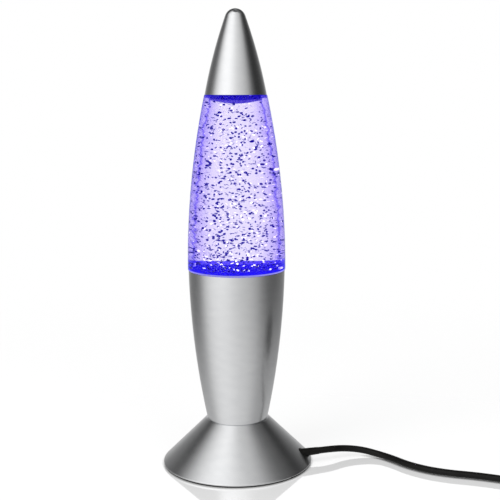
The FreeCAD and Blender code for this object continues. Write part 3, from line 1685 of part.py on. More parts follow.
def build():
    keep("foot_shell", foot_shell())
    keep("body_shell", body_shell())
    keep("base_pad", base_pad())
    keep("base_plate", base_plate())
    keep("base_plate_screws", *plate_screws())
    keep("strap_bracket", strap_bracket())
    keep("threaded_tube", threaded_tube())
    keep("hex_nut", hex_nut())
    keep("lock_washer", lock_washer())
    keep("holder_dome", holder_dome())
    keep("holder_insert", holder_insert())
    keep("holder_skirt", holder_skirt())
    keep("socket_shell", socket_shell())
    keep("socket_centre_contact", centre_contact())
    blocks, screws = terminals()
    keep("terminal_blocks", *blocks)
    keep("terminal_screws", *screws)
    keep("bulb_contact", bulb_contact())
    keep("bulb_screw_cap", bulb_screw_cap())
    keep("bulb_insulator", bulb_insulator())
    keep("bulb_glass", bulb_glass())
    keep("bulb_stem", bulb_stem())
    keep("bulb_filament", bulb_filament())
    keep("glass_bottle", glass_bottle())
    keep("liquid_fill", liquid_fill())
    keep("glitter_flakes", *glitter_flakes())
    keep("crown_closure", crown_closure())
    keep("closure_liner", closure_liner())
    keep("cap_cone", cap_cone())
    keep("strain_relief", strain_relief())
    keep("cord_tail", cord_tail())
    keep("cord_clamp", cord_clamp())
    keep("cord_clamp_screws", *clamp_screws())
    brown, blue = inner_leads()
    keep("lead_brown", brown)
    keep("lead_blue", blue)
    coil, (coil_in, inward), (coil_out, outward) = cord_coil()
    keep("cord_coil", coil)
    keep("coil_tie", coil_tie())
    switch_x, switch_y = switch_centre
    reach = switch_length / 2 - end_wall
    near, far = switch_y - reach, switch_y + reach
    keep("cord_to_switch", checked_tube(
        "cord_to_switch",
        (
            relief_axis(relief_outside),
            relief_axis(relief_outside + exit_run),
            *lead_route,
            (switch_x, near - switch_run, switch_split),
            (switch_x, near, switch_split),
        ),
        cord_radius,
    ))
    keep("cord_to_coil", checked_tube(
        "cord_to_coil",
        (
            (switch_x, far, switch_split),
            (switch_x, far + coil_run, switch_split),
            *coil_route,
            tuple(coil_in - inward * coil_end_run),
            tuple(coil_in),
        ),
        cord_radius,
    ))
    tail_y = plug_face_y - plug_length - plug_tail_length
    keep("cord_to_plug", checked_tube(
        "cord_to_plug",
        (
            tuple(coil_out),
            tuple(coil_out + outward * coil_exit_run),
            *plug_route,
            (plug_axis_x, tail_y - plug_run, plug_centre_height),
            (plug_axis_x, tail_y, plug_centre_height),
        ),
        cord_radius,
    ))
    keep("switch_lower_half", switch_lower_half())
    keep("switch_upper_half", switch_upper_half())
    keep("switch_case_screws", *case_screws())
    pivot, fixed = switch_contacts()
    keep("switch_pivot_terminal", pivot)
    keep("switch_fixed_terminal", fixed)
    ends, through = switch_cores()
    keep("switch_brown_cores", *ends)
    keep("switch_blue_core", through)
    keep("switch_rocker", switch_rocker())
    keep("rocker_plunger", rocker_plunger())
    keep("plunger_spring", plunger_spring())
    keep("switch_seesaw", switch_seesaw())
    keep("plug_body", plug_body())
    keep("plug_pins", *plug_pins())
    keep("plug_pin_sleeves", *pin_sleeves())


build()
os.makedirs("parts", exist_ok=True)
for name, shape in pieces.items():
    shape.exportStep(f"parts/{name}.step")
    solids = shape.Solids
    valid = all(s.isValid() and s.isClosed() for s in solids)
    note = "" if valid else ", NOT VALID"
    print(f"{name}: {len(solids)} solid(s), {sum(s.Volume for s in solids):.1f} mm3{note}")
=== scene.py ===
import json
import math
import random

import bpy
from mathutils import Euler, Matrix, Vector


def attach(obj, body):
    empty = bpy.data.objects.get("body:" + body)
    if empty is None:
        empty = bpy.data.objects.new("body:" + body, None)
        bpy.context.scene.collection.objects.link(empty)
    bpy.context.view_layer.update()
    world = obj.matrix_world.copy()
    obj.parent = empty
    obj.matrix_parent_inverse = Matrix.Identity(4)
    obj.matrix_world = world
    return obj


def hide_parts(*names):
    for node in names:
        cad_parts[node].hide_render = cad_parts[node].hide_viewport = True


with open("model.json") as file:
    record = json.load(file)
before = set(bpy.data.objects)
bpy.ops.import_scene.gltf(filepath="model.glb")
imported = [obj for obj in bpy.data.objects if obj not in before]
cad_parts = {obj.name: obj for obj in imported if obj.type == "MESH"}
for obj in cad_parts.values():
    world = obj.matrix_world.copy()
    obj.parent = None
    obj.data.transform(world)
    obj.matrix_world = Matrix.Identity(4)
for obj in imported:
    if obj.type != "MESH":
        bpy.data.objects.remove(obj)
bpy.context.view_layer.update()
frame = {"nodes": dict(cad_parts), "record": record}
nodes = frame["nodes"]
scene = bpy.context.scene

MM = 0.001


# Camera, at the photograph's place. The pitch is in degrees below level

CAMERA_PLACE = (0.0295, -0.7665, 0.2878)
CAMERA_PITCH = 8.84
CAMERA_LENS = 72.66
CAMERA_SENSOR = 36.0
CAMERA_SHIFT = -0.05


def make_camera():
    data = bpy.data.cameras.new("camera")
    data.lens = CAMERA_LENS
    data.sensor_width = CAMERA_SENSOR
    data.shift_x = CAMERA_SHIFT
    camera = bpy.data.objects.new("camera", data)
    scene.collection.objects.link(camera)
    camera.location = CAMERA_PLACE
    camera.rotation_euler = (math.radians(90 - CAMERA_PITCH), 0, 0)
    scene.camera = camera


make_camera()


# Lead: the route's points are the control points of one smooth spline, in millimetres

CORD_RADIUS = 2.6
CORD_ROUNDING = 6
CORD_STEPS = 12
RELIEF_TIP = (63.776, -0.796, 8.0)
TO_SWITCH = (
    RELIEF_TIP,
    (73.549, 2.761, 8.0),
    (85.5, 9.5, 6.3),
    (99.3, 10.5, 4.7),
    (112.1, 5.7, 2.7),
    (122.1, -3.9, 2.6),
    (132.8, -17.6, 2.6),
    (147.0, -28.5, 2.6),
    (162.5, -35.3, 2.6),
    (179.0, -39.5, 2.6),
    (196.0, -45.6, 2.6),
    (213.0, -53.4, 2.6),
    (231.0, -61.5, 2.6),
    (250.0, -69.2, 2.6),
    (270.0, -74.0, 2.6),
    (289.0, -73.5, 2.6),
    (305.5, -67.0, 2.9),
    (317.5, -56.0, 4.3),
    (326.0, -38.7, 7.0),
    (326.0, -23.2, 7.0),
)
TO_COIL = (
    (326.0, 27.2, 7.0),
    (326.0, 42.0, 7.0),
    (319.5, 55.2, 6.1),
    (307.9, 64.2, 4.7),
    (292.7, 67.1, 3.5),
    (275.3, 62.0, 2.6),
)
TO_PLUG = (
    (247.8, -44.5, 8.35),
    (262.5, -47.9, 9.0),
    (277.0, -44.3, 11.8),
    (287.7, -34.5, 16.0),
    (293.0, -22.1, 17.85),
    (293.0, -9.0, 17.85),
)

# The coil's start and end are in degrees, and its other angles in turns
COIL_CENTRE = (264.0, 0.0)
COIL_OUTER_RADIUS = 40.0
COIL_PITCH = 5.75
COIL_START = 122.0
COIL_END = 208.0
COIL_TURNS = 6 + (COIL_END - COIL_START) / 360
COIL_POINTS_PER_TURN = 24
COIL_END_RUN = 14.5
COIL_EXIT_RUN = 13.8
LAYER_CHANGE = 0.25
SHORT_TURN = 0.001


def coil_place(turn):
    """Point of the coil after a number of turns: spiralling in on the table, then out on top."""
    half = COIL_TURNS / 2
    inner = COIL_OUTER_RADIUS - COIL_PITCH * half
    away = turn - half
    if abs(away) < LAYER_CHANGE:
        share = away / LAYER_CHANGE
        radius = inner + COIL_PITCH * LAYER_CHANGE * (1 + share * share) / 2
        rise = (1 + share + math.sin(math.pi * share) / math.pi) / 2
    else:
        radius = inner + COIL_PITCH * abs(away)
        rise = 0.0 if away < 0 else 1.0
    angle = math.radians(COIL_START) + 2 * math.pi * turn
    return (
        COIL_CENTRE[0] + radius * math.cos(angle),
        COIL_CENTRE[1] + radius * math.sin(angle),
        CORD_RADIUS + rise * COIL_PITCH,
    )


def beyond(point, other, run):
    """The point that lies a run past a point, on the line from another point to it."""
    heading = (Vector(point) - Vector(other)).normalized()
    return tuple(Vector(point) + heading * run)


def coil_points():
    """The coil's points, with one more past each end, where the lead runs on straight."""
    count = round(COIL_TURNS * COIL_POINTS_PER_TURN)
    step = COIL_TURNS / count
    first, last = coil_place(0), coil_place(COIL_TURNS)
    before = beyond(first, coil_place(SHORT_TURN), COIL_END_RUN)
    after = beyond(last, coil_place(COIL_TURNS - SHORT_TURN), COIL_EXIT_RUN)
    return (before, *(coil_place(i * step) for i in range(count + 1)), after)


def make_cord(name, points):
    """A round cord along a spline, which starts and ends at the outer points."""
    curve = bpy.data.curves.new(name, "CURVE")
    curve.dimensions = "3D"
    curve.bevel_depth = 1.0
    curve.bevel_resolution = CORD_ROUNDING
    curve.resolution_u = CORD_STEPS
    curve.use_fill_caps = True
    spline = curve.splines.new("NURBS")
    spline.points.add(len(points) - 1)
    for target, point in zip(spline.points, points):
        target.co = (*(value * MM for value in point), 1.0)
        target.radius = CORD_RADIUS * MM
    spline.order_u = 3
    spline.use_endpoint_u = True
    cord = bpy.data.objects.new(name, curve)
    scene.collection.objects.link(cord)
    return cord


lead = make_cord("lead_to_switch", TO_SWITCH)
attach(lead, "base")
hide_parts("cord_to_switch")

stored = make_cord("lead_to_plug", (*TO_COIL, *coil_points(), *TO_PLUG))
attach(stored, "base")
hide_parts("cord_to_coil", "cord_coil", "cord_to_plug")


# Shader nodes. A value is a number, a colour's four numbers or another node's socket

NOISE_MIDDLE = (0.3, 0.7)


def feed(tree, socket, value):
    """Give a socket its value, or link it to the socket that makes it."""
    if isinstance(value, bpy.types.NodeSocket):
        tree.links.new(value, socket)
    else:
        socket.default_value = value


def math_node(tree, operation, *values):
    node = tree.nodes.new("ShaderNodeMath")
    node.operation = operation
    for socket, value in zip(node.inputs, values):
        feed(tree, socket, value)
    return node.outputs[0]


def plus(tree, first, second):
    return math_node(tree, "ADD", first, second)


def times(tree, first, second):
    return math_node(tree, "MULTIPLY", first, second)


def times_plus(tree, first, second, third):
    return math_node(tree, "MULTIPLY_ADD", first, second, third)


def map_range(tree, kind, value, low, high, start, end):
    """Map the range from low to high to that from start to end."""
    node = tree.nodes.new("ShaderNodeMapRange")
    node.interpolation_type = kind
    for name, number in (("From Min", low), ("From Max", high), ("To Min", start), ("To Max", end)):
        node.inputs[name].default_value = number
    tree.links.new(value, node.inputs["Value"])
    return node.outputs["Result"]


def smooth_range(tree, value, low, high, start=0.0, end=1.0):
    return map_range(tree, "SMOOTHSTEP", value, low, high, start, end)


def colour_ramp(tree, value, stops, interpolation="LINEAR"):
    """Colours by a value. Each stop is a position and a colour."""
    node = tree.nodes.new("ShaderNodeValToRGB")
    node.color_ramp.interpolation = interpolation
    elements = node.color_ramp.elements
    while len(elements) < len(stops):
        elements.new(0.5)
    for element, (position, colour) in zip(elements, stops):
        element.position = position
        element.color = (*colour, 1)
    tree.links.new(value, node.inputs["Fac"])
    return node.outputs["Color"]


def mix_colours(tree, share, first, second):
    """Go from the first colour to the second as the share rises."""
    node = tree.nodes.new("ShaderNodeMix")
    node.data_type = "RGBA"
    tree.links.new(share, node.inputs[0])
    feed(tree, node.inputs[6], first)
    feed(tree, node.inputs[7], second)
    return node.outputs[2]


def coordinates(tree, kind):
    """Sockets of the x, y and z of a texture coordinate."""
    place = tree.nodes.new("ShaderNodeTexCoord")
    split = tree.nodes.new("ShaderNodeSeparateXYZ")
    tree.links.new(place.outputs[kind], split.inputs[0])
    return split.outputs["X"], split.outputs["Y"], split.outputs["Z"]


# Patterns. They lie in the piece's own coordinates, and a scale is a number of features in a metre

def surface_of(material):
    return material.node_tree.nodes["Principled BSDF"]


def new_material(name, colour, roughness, **sockets):
    """A Principled material. Further sockets are given by their names, with _ for a space."""
    material = bpy.data.materials.new(name)
    material.use_nodes = True
    surface = surface_of(material)
    surface.inputs["Base Color"].default_value = (*colour, 1)
    surface.inputs["Roughness"].default_value = roughness
    for socket, value in sockets.items():
        surface.inputs[socket.replace("_", " ")].default_value = value
    return material


def even(scale):
    return (scale, scale, scale)


def shaded(colour, factor, added=0.0):
    return tuple(factor * value + added for value in colour)


def scaled_place(material, scale):
    """The piece's own coordinates, stretched along each axis."""
    tree = material.node_tree
    place = tree.nodes.new("ShaderNodeTexCoord")
    mapping = tree.nodes.new("ShaderNodeMapping")
    mapping.inputs["Scale"].default_value = scale
    tree.links.new(place.outputs["Object"], mapping.inputs["Vector"])
    return mapping.outputs["Vector"]


def noise(material, scale, detail=3.0):
    """A noise pattern between 0 and 1."""
    tree = material.node_tree
    texture = tree.nodes.new("ShaderNodeTexNoise")
    texture.inputs["Scale"].default_value = 1.0
    texture.inputs["Detail"].default_value = detail
    tree.links.new(scaled_place(material, scale), texture.inputs["Vector"])
    return texture.outputs["Fac"]


def cells(material, scale):
    """Rounded cells between 0 and 1, as in a foam or a sparked mould."""
    tree = material.node_tree
    texture = tree.nodes.new("ShaderNodeTexVoronoi")
    texture.feature = "SMOOTH_F1"
    texture.inputs["Scale"].default_value = 1.0
    tree.links.new(scaled_place(material, even(scale)), texture.inputs["Vector"])
    return texture.outputs["Distance"]


def spread(material, pattern, low, high):
    """Map the middle of a noise pattern to a range."""
    return map_range(material.node_tree, "LINEAR", pattern, *NOISE_MIDDLE, low, high)


def vary_roughness(material, scale, low, high):
    roughness = spread(material, noise(material, scale), low, high)
    material.node_tree.links.new(roughness, surface_of(material).inputs["Roughness"])


def clouded(material, scale, dark, light, detail=3.0):
    """A colour that a noise pattern takes from dark to light."""
    stops = tuple(zip(NOISE_MIDDLE, (dark, light)))
    return colour_ramp(material.node_tree, noise(material, scale, detail), stops)


def vary_colour(material, scale, dark, light, detail=3.0):
    colour = clouded(material, scale, dark, light, detail)
    material.node_tree.links.new(colour, surface_of(material).inputs["Base Color"])


def add_bump(material, *layers):
    """Stack bumps. Each layer is a pattern and its height in millimetres."""
    tree = material.node_tree
    normal = None
    for pattern, height in layers:
        bump = tree.nodes.new("ShaderNodeBump")
        bump.inputs["Distance"].default_value = height * MM
        tree.links.new(pattern, bump.inputs["Height"])
        if normal:
            tree.links.new(normal, bump.inputs["Normal"])
        normal = bump.outputs["Normal"]
    tree.links.new(normal, surface_of(material).inputs["Normal"])


# Materials. A colour is red, green and blue, and a bump's height is in millimetres

COAT = (0.8, 0.8, 0.81)
COAT_DARK = (0.783, 0.79, 0.802)
COAT_LIGHT = (0.817, 0.823, 0.832)
INNER_WALL_DARK = (0.16, 0.16, 0.165, 1)
INNER_WALL_ROUGHER = 0.3
TURNED_INWARD = -0.0005


def faces_axis(material):
    """1 on walls that face the lamp's axis, and 0 on those that face away from it."""
    tree = material.node_tree
    place = tree.nodes.new("ShaderNodeTexCoord")
    flat = tree.nodes.new("ShaderNodeVectorMath")
    flat.operation = "MULTIPLY"
    flat.inputs[1].default_value = (1, 1, 0)
    outward = tree.nodes.new("ShaderNodeVectorMath")
    outward.operation = "DOT_PRODUCT"
    tree.links.new(place.outputs["Object"], flat.inputs[0])
    tree.links.new(flat.outputs[0], outward.inputs[0])
    tree.links.new(place.outputs["Normal"], outward.inputs[1])
    return math_node(tree, "LESS_THAN", outward.outputs["Value"], TURNED_INWARD)


def satin_metal(name, roughness):
    """Spun metal, much darker and rougher on the walls that face the axis. Its satin coat has a fine grain
    and faint lines around the axis.
    """
    made = new_material(name, COAT, roughness, Metallic=1.0)
    tree = made.node_tree
    surface = surface_of(made)
    inside = faces_axis(made)
    coat = clouded(made, (90, 90, 240), COAT_DARK, COAT_LIGHT, detail=6.0)
    tree.links.new(mix_colours(tree, inside, coat, INNER_WALL_DARK), surface.inputs["Base Color"])
    satin = spread(made, noise(made, (160, 160, 320)), roughness - 0.01, roughness + 0.015)
    tree.links.new(times_plus(tree, inside, INNER_WALL_ROUGHER, satin), surface.inputs["Roughness"])
    lines = noise(made, (30, 30, 1500), 2.0)
    grain = noise(made, even(2400), 2.0)
    add_bump(made, (lines, 0.0001), (grain, 0.003))
    return made


def moulded(name, colour, roughness, grain_scale=1500, grain_height=0.012):
    """A dark moulding with the fine sparked texture of its tool."""
    made = new_material(name, colour, roughness)
    vary_colour(made, even(140), colour, shaded(colour, 1.35, 0.002))
    vary_roughness(made, even(260), roughness - 0.05, roughness + 0.07)
    grain = cells(made, grain_scale)
    unevenness = noise(made, even(90))
    add_bump(made, (grain, grain_height), (unevenness, 0.02))
    return made


def plated(name, dark, light, roughness, line_scale=(300, 300, 2200)):
    """A plated or drawn metal with fine tool lines and slightly clouded plating."""
    made = new_material(name, light, roughness, Metallic=1.0)
    vary_colour(made, even(220), dark, light, detail=5.0)
    vary_roughness(made, line_scale, roughness - 0.05, roughness + 0.12)
    lines = noise(made, line_scale, 2.0)
    add_bump(made, (lines, 0.006))
    return made


def black_foam():
    made = new_material("black_foam", (0.02, 0.02, 0.02), 0.95)
    vary_colour(made, even(1800), (0.008, 0.008, 0.008), (0.035, 0.035, 0.034))
    vary_roughness(made, even(900), 0.88, 0.98)
    pores = cells(made, 1400)
    add_bump(made, (pores, 0.15))
    return made


def cord_black():
    """Black flexible PVC: semi-matte, slightly uneven along its length."""
    made = new_material("cord_black", (0.004, 0.0039, 0.0035), 0.4, Specular_IOR_Level=0.16)
    vary_colour(made, even(160), (0.003, 0.0029, 0.0026), (0.006, 0.0058, 0.0053))
    vary_roughness(made, even(420), 0.3, 0.42)
    grain = noise(made, even(1600), 3.0)
    unevenness = noise(made, even(110))
    add_bump(made, (grain, 0.012), (unevenness, 0.05))
    return made


def insulation(name, colour):
    made = new_material(name, colour, 0.4)
    vary_colour(made, even(200), shaded(colour, 0.8), shaded(colour, 1.2))
    vary_roughness(made, even(500), 0.34, 0.48)
    grain = noise(made, even(1800))
    add_bump(made, (grain, 0.008))
    return made


def liner_plastic():
    made = new_material("liner_plastic", (0.8, 0.8, 0.77), 0.6)
    vary_colour(made, even(260), (0.76, 0.76, 0.72), (0.84, 0.84, 0.81))
    grain = noise(made, even(900))
    add_bump(made, (grain, 0.02))
    return made


GLASS_IOR = 1.5


def clear_glass(name, tint, roughness, wave_height, gloss=1.0):
    """Blown glass with a faint waviness. Less gloss dims what its surface mirrors."""
    mirror_tint = (gloss, gloss, gloss, 1)
    made = new_material(
        name, tint, roughness, Transmission_Weight=1.0, IOR=GLASS_IOR, Specular_Tint=mirror_tint
    )
    vary_roughness(made, even(60), roughness, roughness + 0.01)
    waves = noise(made, (28, 28, 18), 1.0)
    add_bump(made, (waves, wave_height))
    return made


# Heights in metres between which the silver ends
SILVER_EDGE = (0.1075, 0.109)


def bulb_glass():
    """Clear at the front, with the silver of the reflector on its neck and back."""
    made = clear_glass("bulb_glass", (0.96, 0.97, 0.98), 0.02, 0.05)
    tree = made.node_tree
    height = coordinates(tree, "Object")[2]
    silver = map_range(tree, "LINEAR", height, *SILVER_EDGE, 1.0, 0.0)
    tree.links.new(silver, surface_of(made).inputs["Metallic"])
    return made


# The liquid's colours, from where it is looked straight through to its sides. The pale tint is its own; the
# deep tints towards the sides are painted shade
LIQUID_TINTS_AND_SIDE_SHADE = (
    (0.0, (0.84, 0.78, 0.57)),
    (0.34, (0.77, 0.69, 0.57)),
    (0.5, (0.56, 0.48, 0.52)),
    (0.65, (0.45, 0.35, 0.5)),
    (0.715, (0.04, 0.015, 0.4)),
    (0.775, (0.56, 0.46, 0.57)),
)
LIQUID_IOR = 1.33
LIQUID_PALE = (0.7, 0.64, 0.55)
# Painted shade: the deep colour of the bands under the cap and in the mouth
LIQUID_PAINTED_SHADE = (0.008, 0.004, 0.12, 1)
LIQUID_MIRROR_TINT = (0.05, 0.05, 0.05, 1)
SIDE_BLEND = 0.9
SIDE_UNEVEN = 0.05
NOT_AT_SIDES = (0.7, 0.77, 1.0, 0.0)

# Bands of the liquid, between heights in metres: painted shade under the cap and in the mouth, and a
# painted highlight line just above the lip
UNDER_CAP = (0.2792, 0.28)
UNDER_CAP_CURVE = -0.0035
IN_MOUTH = (0.1568, 0.1574, 1.0, 0.0)
LIP_LINE = (0.1546, 0.1549, 1.0, 0.0)
LIP_LINE_BOTTOM = 0.1534

# Painted glow: the bulb's light from below, painted into the liquid as light it gives off, stronger in the
# mouth
GLOW_STRENGTH = 0.7
GLOW_ABOVE = (0.008, 0.002, 0.42, 1)
GLOW_IN_MOUTH = (0.02, 0.01, 1.0, 1)
LIP_PAINTED_HIGHLIGHT = (0.4, 0.38, 0.8, 1)


def painted_shade_bands(tree, facing, height):
    """Painted shade: 1 above the cap's rim, and 1 in the mouth, but 0 at the liquid's very sides."""
    inside = smooth_range(tree, facing, *NOT_AT_SIDES)
    curved = times_plus(tree, facing, UNDER_CAP_CURVE, height)
    capped = times(tree, smooth_range(tree, curved, *UNDER_CAP), inside)
    seated = times(tree, smooth_range(tree, height, *IN_MOUTH), inside)
    return capped, seated


def painted_lip_highlight(tree, height):
    """Painted highlight: 1 on a thin line of the near wall, just above the mouth's lip."""
    side = tree.nodes.new("ShaderNodeNewGeometry")
    below = smooth_range(tree, height, *LIP_LINE)
    near = math_node(tree, "SUBTRACT", below, side.outputs["Backfacing"])
    above = math_node(tree, "GREATER_THAN", height, LIP_LINE_BOTTOM)
    return times(tree, math_node(tree, "MAXIMUM", near, 0.0), above)


def violet_liquid():
    """Tinted water with painted light: a painted glow for the bulb below, painted shade at its sides, under
    the cap and in the mouth, and a painted highlight above the lip; pale where it is looked through.
    """
    made = new_material(
        "violet_liquid",
        LIQUID_PALE,
        0.01,
        Transmission_Weight=1.0,
        IOR=LIQUID_IOR,
        Specular_Tint=LIQUID_MIRROR_TINT,
    )
    tree = made.node_tree
    surface = surface_of(made)
    turned = tree.nodes.new("ShaderNodeLayerWeight")
    turned.inputs["Blend"].default_value = SIDE_BLEND
    facing = turned.outputs["Facing"]
    height = coordinates(tree, "Object")[2]
    capped, seated = painted_shade_bands(tree, facing, height)
    # The painted side shade is made uneven in streaks
    uneven = spread(made, noise(made, (60, 60, 300)), -SIDE_UNEVEN, SIDE_UNEVEN)
    tint = colour_ramp(tree, plus(tree, facing, uneven), LIQUID_TINTS_AND_SIDE_SHADE)
    # The bands under the cap and in the mouth take the painted shade
    colour = mix_colours(tree, plus(tree, capped, seated), tint, LIQUID_PAINTED_SHADE)
    tree.links.new(colour, surface.inputs["Base Color"])
    # The glow is painted light from the bulb below
    glow = mix_colours(tree, seated, GLOW_ABOVE, GLOW_IN_MOUTH)
    # A painted highlight line just above the lip
    glow = mix_colours(tree, painted_lip_highlight(tree, height), glow, LIP_PAINTED_HIGHLIGHT)
    tree.links.new(glow, surface.inputs["Emission Color"])
    surface.inputs["Emission Strength"].default_value = GLOW_STRENGTH
    return made


def flake_material(name, colour, glow):
    """Metallised film, a little darker in places at random. A glow, where given, is a painted glint."""
    made = new_material(name, colour, 0.25, Metallic=0.6)
    vary_colour(made, even(300), shaded(colour, 0.7), colour)
    surface = surface_of(made)
    surface.inputs["Emission Color"].default_value = (*colour, 1)
    surface.inputs["Emission Strength"].default_value = glow
    return made


MATERIALS = {
    "satin_metal": satin_metal("satin_metal", 0.24),
    "black_foam": black_foam(),
    "black_plastic": moulded("black_plastic", (0.02, 0.02, 0.02), 0.5),
    "zinc_steel": plated("zinc_steel", (0.56, 0.57, 0.58), (0.7, 0.71, 0.72), 0.3),
    "holder_plastic": moulded("holder_plastic", (0.022, 0.02, 0.018), 0.28, 900, 0.004),
    "brass": plated("brass", (0.72, 0.52, 0.22), (0.85, 0.66, 0.32), 0.24),
    "solder": plated("solder", (0.42, 0.42, 0.42), (0.6, 0.6, 0.6), 0.42, (600, 600, 600)),
    "nickel": plated("nickel", (0.7, 0.68, 0.63), (0.82, 0.8, 0.76), 0.16),
    "black_glass": moulded("black_glass", (0.01, 0.01, 0.016), 0.12, 500, 0.003),
    "bulb_glass": bulb_glass(),
    "stem_glass": clear_glass("stem_glass", (0.95, 0.96, 0.97), 0.03, 0.05),
    "tungsten": plated("tungsten", (0.28, 0.27, 0.26), (0.4, 0.39, 0.38), 0.35),
    "bottle_glass": clear_glass("bottle_glass", (0.985, 0.987, 0.995), 0.01, 0.04, gloss=0.15),
    "crown_metal": plated("crown_metal", (0.6, 0.6, 0.61), (0.76, 0.76, 0.77), 0.22),
    "liner_plastic": liner_plastic(),
    "cord_black": cord_black(),
    "brown_insulation": insulation("brown_insulation", (0.16, 0.06, 0.025)),
    "blue_insulation": insulation("blue_insulation", (0.03, 0.12, 0.42)),
    "switch_plastic": moulded("switch_plastic", (0.016, 0.016, 0.017), 0.45),
    "rocker_plastic": moulded("rocker_plastic", (0.018, 0.018, 0.019), 0.3, 900, 0.004),
    "plug_plastic": moulded("plug_plastic", (0.014, 0.014, 0.015), 0.42),
}
CAP_METAL = satin_metal("cap_metal", 0.17)
LIQUID = violet_liquid()
FLAKE_DARK = flake_material("glitter_dark", (0.012, 0.005, 0.08), 0.0)
# The bright flakes' glow is a painted glint
FLAKE_PAINTED_GLINT = flake_material("glitter_bright", (0.95, 0.93, 1.0), 1.4)


def dress_nodes():
    """Give each CAD node that stays its slot's material."""
    for part in frame["record"]["subparts"]:
        material = MATERIALS.get(part["material_slot"])
        if material:
            mesh = nodes[part["node"]].data
            mesh.materials.clear()
            mesh.materials.append(material)


dress_nodes()
nodes["cap_cone"].data.materials[0] = CAP_METAL
for cord in (lead, stored):
    cord.data.materials.append(MATERIALS["cord_black"])


# Liquid and glitter. Sizes are in millimetres

LIQUID_GROWTH = 0.15
LATHE_STEPS = 160
LEVEL_FACE = 0.9
FLAKE_SIDES = 6
FLAKE_THICKNESS = 0.08
FLAKE_REACH = 36.0
FLAKE_END_GAP = 2.0
FLAKE_WALL_GAP = 1.6


def new_piece(name, points, faces, material):
    """An object of one mesh and one material."""
    mesh = bpy.data.meshes.new(name)
    mesh.from_pydata(points, [], faces)
    mesh.materials.append(material)
    piece = bpy.data.objects.new(name, mesh)
    scene.collection.objects.link(piece)
    return piece


def liquid_profile():
    """Height and radius of the liquid's rings, from the solid that fills the bottle."""
    widest = {}
    for vertex in nodes["liquid_fill"].data.vertices:
        height = round(vertex.co.z / MM, 3)
        radius = math.hypot(vertex.co.x, vertex.co.y) / MM
        widest[height] = max(radius, widest.get(height, 0.0))
    return sorted(widest.items())


def radius_in_liquid(profile, height):
    """The liquid's radius at a height, between the two rings next to it."""
    below = max((ring for ring in profile if ring[0] <= height), default=profile[0])
    above = min((ring for ring in profile if ring[0] >= height), default=profile[-1])
    if above[0] == below[0]:
        return below[1]
    share = (height - below[0]) / (above[0] - below[0])
    return below[1] + share * (above[1] - below[1])


def turned_points(rings):
    """Points around the axis for each ring, from the lowest up."""
    points = []
    for height, radius in rings:
        for i in range(LATHE_STEPS):
            angle = 2 * math.pi * i / LATHE_STEPS
            points.append((radius * math.cos(angle) * MM, radius * math.sin(angle) * MM, height * MM))
    return points


def turned_faces(ring_count):
    """The wall from ring to ring, then the lower and the upper end."""
    faces = []
    for ring in range(ring_count - 1):
        near, far = ring * LATHE_STEPS, (ring + 1) * LATHE_STEPS
        for i in range(LATHE_STEPS):
            after = (i + 1) % LATHE_STEPS
            faces.append((near + i, near + after, far + after, far + i))
    faces.append(tuple(reversed(range(LATHE_STEPS))))
    faces.append(tuple(range((ring_count - 1) * LATHE_STEPS, ring_count * LATHE_STEPS)))
    return faces


def make_liquid(profile):
    """A turned body that reaches a little into the glass, so that no film of air shows between them."""
    (low, low_radius), (high, high_radius) = profile[0], profile[-1]
    rings = [(low - LIQUID_GROWTH, low_radius + LIQUID_GROWTH)]
    rings += [(height, radius + LIQUID_GROWTH) for height, radius in profile]
    rings += [(high + LIQUID_GROWTH, high_radius + LIQUID_GROWTH)]
    liquid = new_piece("liquid", turned_points(rings), turned_faces(len(rings)), LIQUID)
    for face in liquid.data.polygons:
        face.use_smooth = abs(face.normal.z) < LEVEL_FACE
    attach(liquid, "bottle")
    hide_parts("liquid_fill")


def add_flake(points, faces, centre, size, turn):
    """One thin flake with six sides."""
    start = len(points)
    for level in (-FLAKE_THICKNESS / 2, FLAKE_THICKNESS / 2):
        for i in range(FLAKE_SIDES):
            angle = 2 * math.pi * i / FLAKE_SIDES
            corner = Vector((size / 2 * math.cos(angle), size / 2 * math.sin(angle), level))
            points.append(tuple((Vector(centre) + turn @ corner) * MM))
    low, high = start, start + FLAKE_SIDES
    faces.append(tuple(low + i for i in reversed(range(FLAKE_SIDES))))
    faces.append(tuple(high + i for i in range(FLAKE_SIDES)))
    for i in range(FLAKE_SIDES):
        after = (i + 1) % FLAKE_SIDES
        faces.append((low + i, low + after, high + after, high + i))


def make_glitter(name, profile, material, seed, count, sizes, tilt):
    """Flakes that drift nearly level, spread at random through the liquid. The tilt is in radians."""
    draw = random.Random(seed)
    low, high = profile[0][0] + FLAKE_END_GAP, profile[-1][0] - FLAKE_END_GAP
    points, faces = [], []
    while len(faces) < count * (FLAKE_SIDES + 2):
        height = draw.uniform(low, high)
        room = radius_in_liquid(profile, height) - FLAKE_WALL_GAP
        radius = FLAKE_REACH * math.sqrt(draw.random())
        if radius > room:
            continue
        angle = draw.uniform(0, 2 * math.pi)
        centre = (radius * math.cos(angle), radius * math.sin(angle), height)
        turn = Euler((draw.gauss(0, tilt), draw.gauss(0, tilt), draw.uniform(0, math.pi))).to_matrix()
        add_flake(points, faces, centre, draw.uniform(*sizes), turn)
    glitter = new_piece(name, points, faces, material)
    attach(glitter, "bottle")
    return glitter


profile = liquid_profile()
make_liquid(profile)
dark = make_glitter("glitter_dark", profile, FLAKE_DARK, seed=11, count=1800, sizes=(1.1, 2.2), tilt=0.65)
make_glitter("glitter_bright", profile, FLAKE_PAINTED_GLINT, seed=12, count=290, sizes=(1.0, 2.0), tilt=0.7)
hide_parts("glitter_flakes")


# Floor: a polished white table. Where it is seen, part of its white is a glow, so that shadows stay faint

FLOOR_HALF = 6.0
FLOOR_HEIGHT = -0.0002
FLOOR_WHITE = 0.85
FLOOR_SEEN_DARKER = -0.55
FLOOR_SEEN_GLOW = 0.62
